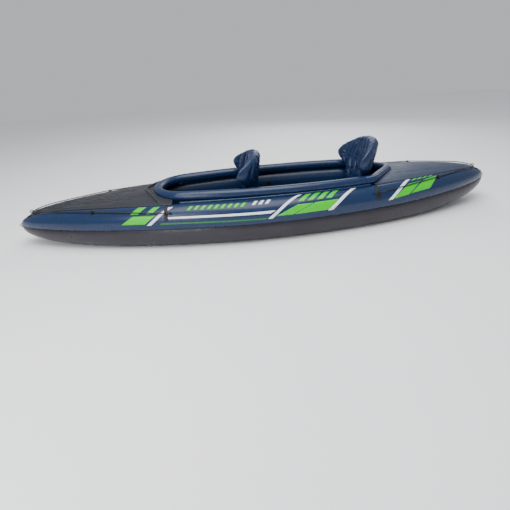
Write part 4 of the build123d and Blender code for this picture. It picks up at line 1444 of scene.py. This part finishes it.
@dataclass
class Backrest(Padded):
    """A backrest shaped like a rounded arch, with ribs that fan out from its foot."""

    rear_x: float = 0.0
    height: float = 425.0
    recline: float = 8.0
    hinge_z: float = 162.5
    half_width: float = 262.0
    waist: tuple[float, float] = (190.0, 190.0)
    foot: float = 38.0
    hip: tuple[float, float] = (148.0, 48.0)
    wing: tuple[float, float] = (240.0, 290.0)
    thickness: float = 84.0
    edge: float = 38.0
    sagitta: float = 130.0
    ribs: int = 8
    centre_height: float = 262.0
    rays: int = 720
    soften: int = 22
    table: tuple[float, ...] = ()

    def span(self, z: float) -> float:
        """Half width of the outline at a height.

        Args:
            z: height above the hinge along the backrest, in millimetres.

        Returns:
            The half width in millimetres.
        """
        if z >= self.wing[1]:
            over = self.height - self.wing[1]
            bend = (self.half_width ** 2 + over ** 2) / (2 * over)
            return math.sqrt(max(0.0, bend ** 2 - (z - self.height + bend) ** 2))
        marks = [(0.0, self.foot), (self.hip[1], self.hip[0]), (self.waist[1], self.waist[0]),
                 (self.wing[0], self.half_width), (self.wing[1], self.half_width)]
        for (low, a), (high, b) in zip(marks, marks[1:]):
            if z <= high:
                return a + (b - a) * max(0.0, z - low) / (high - low)
        return self.half_width

    def outline(self, turn: float) -> float:
        """Distance to the outline, with its corners rounded by averaging near directions.

        Args:
            turn: the direction, in radians.

        Returns:
            The distance in millimetres.
        """
        if not self.table:
            self.table = tuple(self._ray(2 * math.pi * k / self.rays) for k in range(self.rays))
        place = turn / (2 * math.pi) * self.rays
        whole = math.floor(place)
        near = range(whole - self.soften, whole + self.soften + 1)
        here = sum(self.table[k % self.rays] for k in near) / len(near)
        after = sum(self.table[(k + 1) % self.rays] for k in near) / len(near)
        return here + (after - here) * (place - whole)

    def _ray(self, turn: float) -> float:
        """Distance to the sharp outline, found by halving.

        Args:
            turn: the direction, in radians.

        Returns:
            The distance in millimetres.
        """
        low, high = 10.0, 600.0
        for _ in range(24):
            reach = (low + high) / 2
            y, z = reach * math.cos(turn), self.centre_height + reach * math.sin(turn)
            inside = 0 <= z <= self.height and abs(y) <= self.span(z)
            low, high = (reach, high) if inside else (low, reach)
        return low

    def channel(self, across: float, along: float) -> tuple[float, float]:
        """Place a point among ribs of equal share of the width, gathered at the crown and the foot.

        Args:
            across: distance across from the middle, in millimetres.
            along: distance above the outline's middle, in millimetres.

        Returns:
            Distance to the nearest weld over half the rib's width, and that half width.
        """
        z = self.centre_height + along
        fan = 0.62 * self.half_width + 0.38 * self.span(min(max(z, 60.0), self.height - 40))
        pitch = 2 * fan / self.ribs
        near = across / pitch % 1.0
        return min(near, 1 - near) * 2, pitch / 2

    def rounding(self, side: int) -> float:
        """Both faces round off alike."""
        return 40.0

    def place(self, across: float, along: float, side: int, puff: float) -> Vector:
        """Lay a point on a face that bends forward at the wings and leans back with the recline.

        Args:
            across: distance across from the middle, in millimetres.
            along: distance above the outline's middle, in millimetres.
            side: 1 for the face and -1 for the back.
            puff: share of the full thickness.

        Returns:
            The point in millimetres.
        """
        z = self.centre_height + along
        face = -self._sag(across, self.sagitta)
        back = self.thickness - self._sag(across, self.sagitta - self.edge + self.thickness)
        middle, half = (face + back) / 2, (back - face) / 2
        aft = middle - side * half * puff
        lean = math.radians(self.recline)
        x = self.rear_x - 0.3 - z * math.sin(lean) - aft * math.cos(lean)
        return Vector((x, across, self.hinge_z + z * math.cos(lean) - aft * math.sin(lean)))

    def _sag(self, across: float, depth: float) -> float:
        """How far an arc of the given depth has come forward at this distance from the middle."""
        bend = (self.half_width ** 2 + depth ** 2) / (2 * depth)
        return bend - math.sqrt(bend ** 2 - min(abs(across), self.half_width) ** 2)


# ------------------------------------------------------------------ webbing, rope and fittings
@dataclass
class RingStrap:
    """A webbing band over the chamber with a folded keeper round the ring."""

    maker: Maker
    end: str
    ring_x: float
    width: float = 26.0
    thickness: float = 1.5
    low: float = 12.0
    high: float = 84.0
    ring_angle: float = 40.0
    keeper: float = 10.0

    def build(self) -> None:
        """Make the strap on both sides of the boat."""
        for side in Side:
            verts, faces = self._band(self.low, self.high, self.width, 0.2)
            self._patch(verts, faces)
            self._keeper(verts, faces)
            node = f"{self.end}_{side.label}_ring_strap"
            self.maker.piece(f"{node}_webbing", verts, faces, WEBBING, replaces=(node,),
                             mirror=side is Side.STARBOARD)

    def _band(self, low: float, high: float, width: float, lift: float) -> tuple[list[Vector], Faces]:
        """Lay a closed band over the tube between two angles.

        Args:
            low: the lower angle, in degrees.
            high: the upper angle, in degrees.
            width: the band's width, in millimetres.
            lift: height of its underside above the tube, in millimetres.

        Returns:
            The band's vertices and faces.
        """
        rows, columns = 60, 13
        verts = []
        for level in (lift + self.thickness, lift):
            for i in range(rows):
                for j in range(columns):
                    v = 2 * j / (columns - 1) - 1
                    selvedge = 0.25 * abs(v) ** 8 if level > lift else 0.0
                    angle = low + (high - low) * i / (rows - 1)
                    verts.append(HULL.on_upper(self.ring_x + v * width / 2, angle, level - selvedge))
        return verts, closed_slab(rows, columns)

    def _patch(self, verts: list[Vector], faces: Faces) -> None:
        """Add the doubled end of the webbing at each end of the band.

        Args:
            verts: the strap's vertices, added to.
            faces: the strap's faces, added to.
        """
        for centre in (self.low + 6, self.high - 6):
            more, quads = self._band(centre - 5, centre + 5, self.width * 0.94, self.thickness + 0.1)
            offset = len(verts)
            verts += more
            faces += [tuple(k + offset for k in quad) for quad in quads]

    def _keeper(self, verts: list[Vector], faces: Faces) -> None:
        """Add the fold that holds the ring's lowest point.

        Args:
            verts: the strap's vertices, added to.
            faces: the strap's faces, added to.
        """
        offset = len(verts)
        profile = [(-12.0, 2.0), (-8.0, 2.2), (-4.6, 3.4)]
        profile += [(-3.6 * math.cos(t), 4.6 + 3.6 * math.sin(t)) for t in np.linspace(0.0, math.pi, 9)]
        profile += [(4.6, 3.4), (8.0, 2.2), (12.0, 2.0)]
        rows = 9
        for shift in (0.6, -0.6):
            for x_off, height in profile:
                for i in range(rows):
                    angle = self.ring_angle + (2 * i / (rows - 1) - 1) * self.keeper / 2 / 1.6
                    verts.append(HULL.on_upper(self.ring_x + x_off, angle, height + shift, False))
        faces += closed_slab(len(profile), rows, offset)


@dataclass
class GrabLine:
    """A rope from a corner ring over the nose to the other side's ring, with a stopper knot at each end."""

    maker: Maker
    end: End
    ring_x: float
    guide_x: float
    ring_angle: float = 40.0
    ring_lift: float = 15.6
    guide_angle: float = 62.0
    guide_lift: float = 11.6
    radius: float = 4.0
    lift: float = 8.0
    tip_x: float = 1790.0
    tip_angle: float = 80.0
    tip_turn_y: float = 27.0
    tip_rise: float = 15.5
    lay: float = 26.0
    knot: float = 6.4
    end_reach: float = 22.0
    rope_step: float = 0.0022
    shares: tuple[float, ...] = (0.22, 0.44, 0.63, 0.82)
    tip_shares: tuple[tuple[float, float], ...] = ((0.25, 8.0), (0.50, 8.0), (0.72, 11.0), (0.88, 15.0))

    def route(self) -> list[Vector]:
        """List the route's points, port side and then starboard.

        Returns:
            The points in metres.
        """
        sign, tip = self.end.value, self.end.value * self.tip_x
        points = [HULL.on_upper(self.ring_x - sign * self.end_reach, self.ring_angle,
                                self.ring_lift, False),
                  HULL.on_upper(self.ring_x + sign * self.end_reach, self.ring_angle,
                                self.ring_lift, False)]
        for part in self.shares:
            x = self.ring_x + (self.guide_x - self.ring_x) * part
            angle = self.ring_angle + (self.guide_angle - self.ring_angle) * part
            points.append(HULL.on_upper(x, angle, self.lift, False))
        points.append(HULL.on_upper(self.guide_x, self.guide_angle, self.guide_lift, False))
        for part, lift in self.tip_shares:
            x = self.guide_x + (tip - self.guide_x) * part
            angle = self.guide_angle + (self.tip_angle - self.guide_angle) * part
            points.append(HULL.on_upper(x, angle, lift, False))
        points.append(Vector((tip, self.tip_turn_y, HULL.crest_z(tip) + 0.6 + self.tip_rise)) * MM)
        return points + [Vector((p.x, -p.y, p.z)) for p in reversed(points)]

    def build(self) -> None:
        """Make the laid rope and its two knots."""
        line = spline_through(self.route(), 14)
        name = f"{self.end.label}_grab_line"

        def strands(run: float, angle: float) -> float:
            """Radius of a three-strand rope: three rounded ridges that wind along it.

            Args:
                run: length along the rope, in metres.
                angle: angle round it, in radians.

            Returns:
                The radius in metres.
            """
            wave = math.cos(3 * (angle - 2 * math.pi * run / (self.lay * MM)) / 2)
            return self.radius * (0.86 + 0.14 * abs(wave)) * MM

        fine = self._even(line, self.rope_step)
        self.maker.tube(f"{name}_rope", fine, strands, ROPE_FIBRE, replaces=(name,), ring=18)
        for side, spot, beyond in ((Side.PORT, line[0], line[0] - line[1]),
                                   (Side.STARBOARD, line[-1], line[-1] - line[-2])):
            self._knot(f"{name}_{side.label}_knot", spot, beyond.normalized())

    def _even(self, line: list[Vector], step: float) -> list[Vector]:
        """Space a line's points evenly.

        Args:
            line: the line's points.
            step: the distance between points, in metres.

        Returns:
            The same line with even points.
        """
        runs = np.array([(b - a).length for a, b in zip(line, line[1:])])
        total = np.concatenate(([0.0], np.cumsum(runs)))
        spots = np.linspace(0.0, total[-1], int(total[-1] / step))
        axes = [np.interp(spots, total, [p[k] for p in line]) for k in range(3)]
        return [Vector(values) for values in zip(*axes)]

    def _knot(self, name: str, spot: Vector, away: Vector) -> None:
        """Make an overhand stopper knot, pulled tight.

        Args:
            name: the piece's name.
            spot: the rope's end.
            away: the direction that the rope runs out in.
        """
        side = away.cross(Vector((0, 0, 1))).normalized()
        up = side.cross(away)
        scale = self.knot / 3 * MM
        path = []
        for k in range(120):
            t = 2 * math.pi * k / 120
            a = math.sin(t) + 2 * math.sin(2 * t)
            b = math.cos(t) - 2 * math.cos(2 * t)
            c = -math.sin(3 * t)
            path.append(spot + away * (7.5 * MM + c * 3.2 * MM) + side * (a * scale) + up * (b * scale))
        self.maker.tube(
            name, path,
            lambda run, angle: 0.92 * self.radius * MM * (
                0.87 + 0.13 * abs(math.cos(1.5 * angle - run * 360))),
            ROPE_FIBRE, ring=14, closed=True)


@dataclass
class Hardware:
    """The hard fittings, which keep their own shapes and take real finishes."""

    finishes: tuple[tuple[str, Finish], ...] = (
        ("_valve_cap", MOULDED_BLACK), ("_valve_stem", VALVE_PVC), ("_valve_plug", VALVE_PVC),
        ("_valve", VALVE_PVC), ("_rope_guide", MOULDED_BLACK), ("_tip_plate", MOULDED_BLACK),
        ("_tow_tab", CHARCOAL_FILM), ("_tow_grommet", NICKEL), ("_ring", MOULDED_BLACK),
        ("_loop_strips", HOOK_TAPE), ("_hook_strips", HOOK_TAPE),
    )

    def build(self) -> None:
        """Dress every frame node whose name ends like one of the fittings."""
        for name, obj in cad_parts.items():
            finish = next((f for ending, f in self.finishes if name.endswith(ending)), None)
            if finish is None:
                continue
            for slot in obj.material_slots:
                slot.material = finish.material()
            LOG.info("dressed %s in %s", name, finish.name)


# ------------------------------------------------------------------ studio
@dataclass
class Studio:
    """The pale floor, the soft lights and the camera."""

    aim: Point = (0.0, 0.0, 0.2)
    azimuth: float = 0.11670
    elevation: float = 0.34584
    distance: float = 2.93735
    roll: float = -0.055803
    lens: float = 25.386
    shift: tuple[float, float] = (-0.0232, -0.118)

    def build(self) -> None:
        """Set up everything that isn't the boat."""
        self._floor()
        self._world()
        self._light("overhead", (0.3, 0.9, 4.6), (0.0, 0.2, 0.2), 4.2, 310)
        self._light("key", (2.6, 3.4, 2.6), (0.1, 0.2, 0.2), 1.8, 60)
        self._light("rim", (-1.6, -3.6, 2.6), (0.0, 0.0, 0.2), 3.0, 60)
        self._light("streak", (1.7, 2.9, 0.75), (1.2, 0.3, 0.2), 0.7, 16)
        self._camera()

    def _floor(self) -> None:
        """A wide matt floor."""
        mesh = bpy.data.meshes.new("studio_floor")
        work = bmesh.new()
        bmesh.ops.create_grid(work, x_segments=4, y_segments=4, size=9.0)
        work.to_mesh(mesh)
        work.free()
        floor = bpy.data.objects.new("studio_floor", mesh)
        bpy.context.scene.collection.objects.link(floor)
        floor.location.z = -0.0005
        mesh.materials.append(STUDIO_PAINT.material())

    def _world(self) -> None:
        """An even pale sky."""
        world = bpy.data.worlds.new("studio")
        world.use_nodes = True
        sky = world.node_tree.nodes["Background"]
        sky.inputs["Color"].default_value = linear("#F4F6FA")
        sky.inputs["Strength"].default_value = 0.60
        bpy.context.scene.world = world

    def _light(self, name: str, spot: Point, aim: Point, size: float, energy: float) -> None:
        """Add a soft square light that looks at a point.

        Args:
            name: the light's name.
            spot: where it hangs.
            aim: the point it looks at.
            size: its side, in metres.
            energy: its power, in watts.
        """
        lamp = bpy.data.lights.new(name, "AREA")
        lamp.size = size
        lamp.energy = energy
        obj = bpy.data.objects.new(name, lamp)
        bpy.context.scene.collection.objects.link(obj)
        obj.location = spot
        obj.rotation_euler = (Vector(aim) - Vector(spot)).to_track_quat("-Z", "Y").to_euler()

    def _camera(self) -> None:
        """The camera, above and abeam of the port side."""
        away = Vector((math.sin(self.azimuth) * math.cos(self.elevation),
                       math.cos(self.azimuth) * math.cos(self.elevation), math.sin(self.elevation)))
        right = (-away).cross(Vector((0, 0, 1))).normalized()
        up = right.cross(-away)
        turned = right * math.cos(self.roll) + up * math.sin(self.roll)
        lifted = up * math.cos(self.roll) - right * math.sin(self.roll)
        lens = bpy.data.cameras.new("camera")
        lens.lens, lens.sensor_width = self.lens, 36.0
        lens.shift_x, lens.shift_y = self.shift
        obj = bpy.data.objects.new("camera", lens)
        bpy.context.scene.collection.objects.link(obj)
        obj.matrix_world = Matrix.Translation(Vector(self.aim) + away * self.distance) @ Matrix(
            (turned, lifted, away)).transposed().to_4x4()
        bpy.context.scene.camera = obj


def main() -> None:
    """Build the boat in order and log how many pieces were made."""
    logging.basicConfig(level=logging.INFO, format="%(name)s: %(message)s")
    maker, inflator = Maker(), Inflator()
    SideChambers(maker).build()
    coaming = Coaming(maker)
    coaming.build()
    Bottom(maker).build()
    bow = Deck(maker, coaming, End.BOW, DECK_CLOTH, 715.0, 42.0, 4.2)
    bow.build()
    Deck(maker, coaming, End.STERN, STERN_CLOTH, -790.0, 34.0, 1.3).build()
    SplashRidge(maker, bow).build()
    for place, rear_x, height, recline in (("front", 175.0, 425.0, 8.0), ("rear", -715.0, 478.0, 15.0)):
        Cushion(maker, inflator, f"{place}_cushion_pad", f"{place}_seat", f"{place}_seat_cushion",
                rear_x=rear_x).build()
        Backrest(maker, inflator, f"{place}_backrest_pad", f"{place}_back", f"{place}_backrest",
                 rear_x=rear_x, height=height, recline=recline).build()
    for place, ring_x in (("front", 752.0), ("rear", -780.0)):
        RingStrap(maker, place, ring_x).build()
    GrabLine(maker, End.BOW, 752.0, 1280.0).build()
    GrabLine(maker, End.STERN, -780.0, -1330.0).build()
    Hardware().build()
    Studio().build()
    LOG.info("%d pieces made", maker.count)


if __name__ == "__main__":
    main()
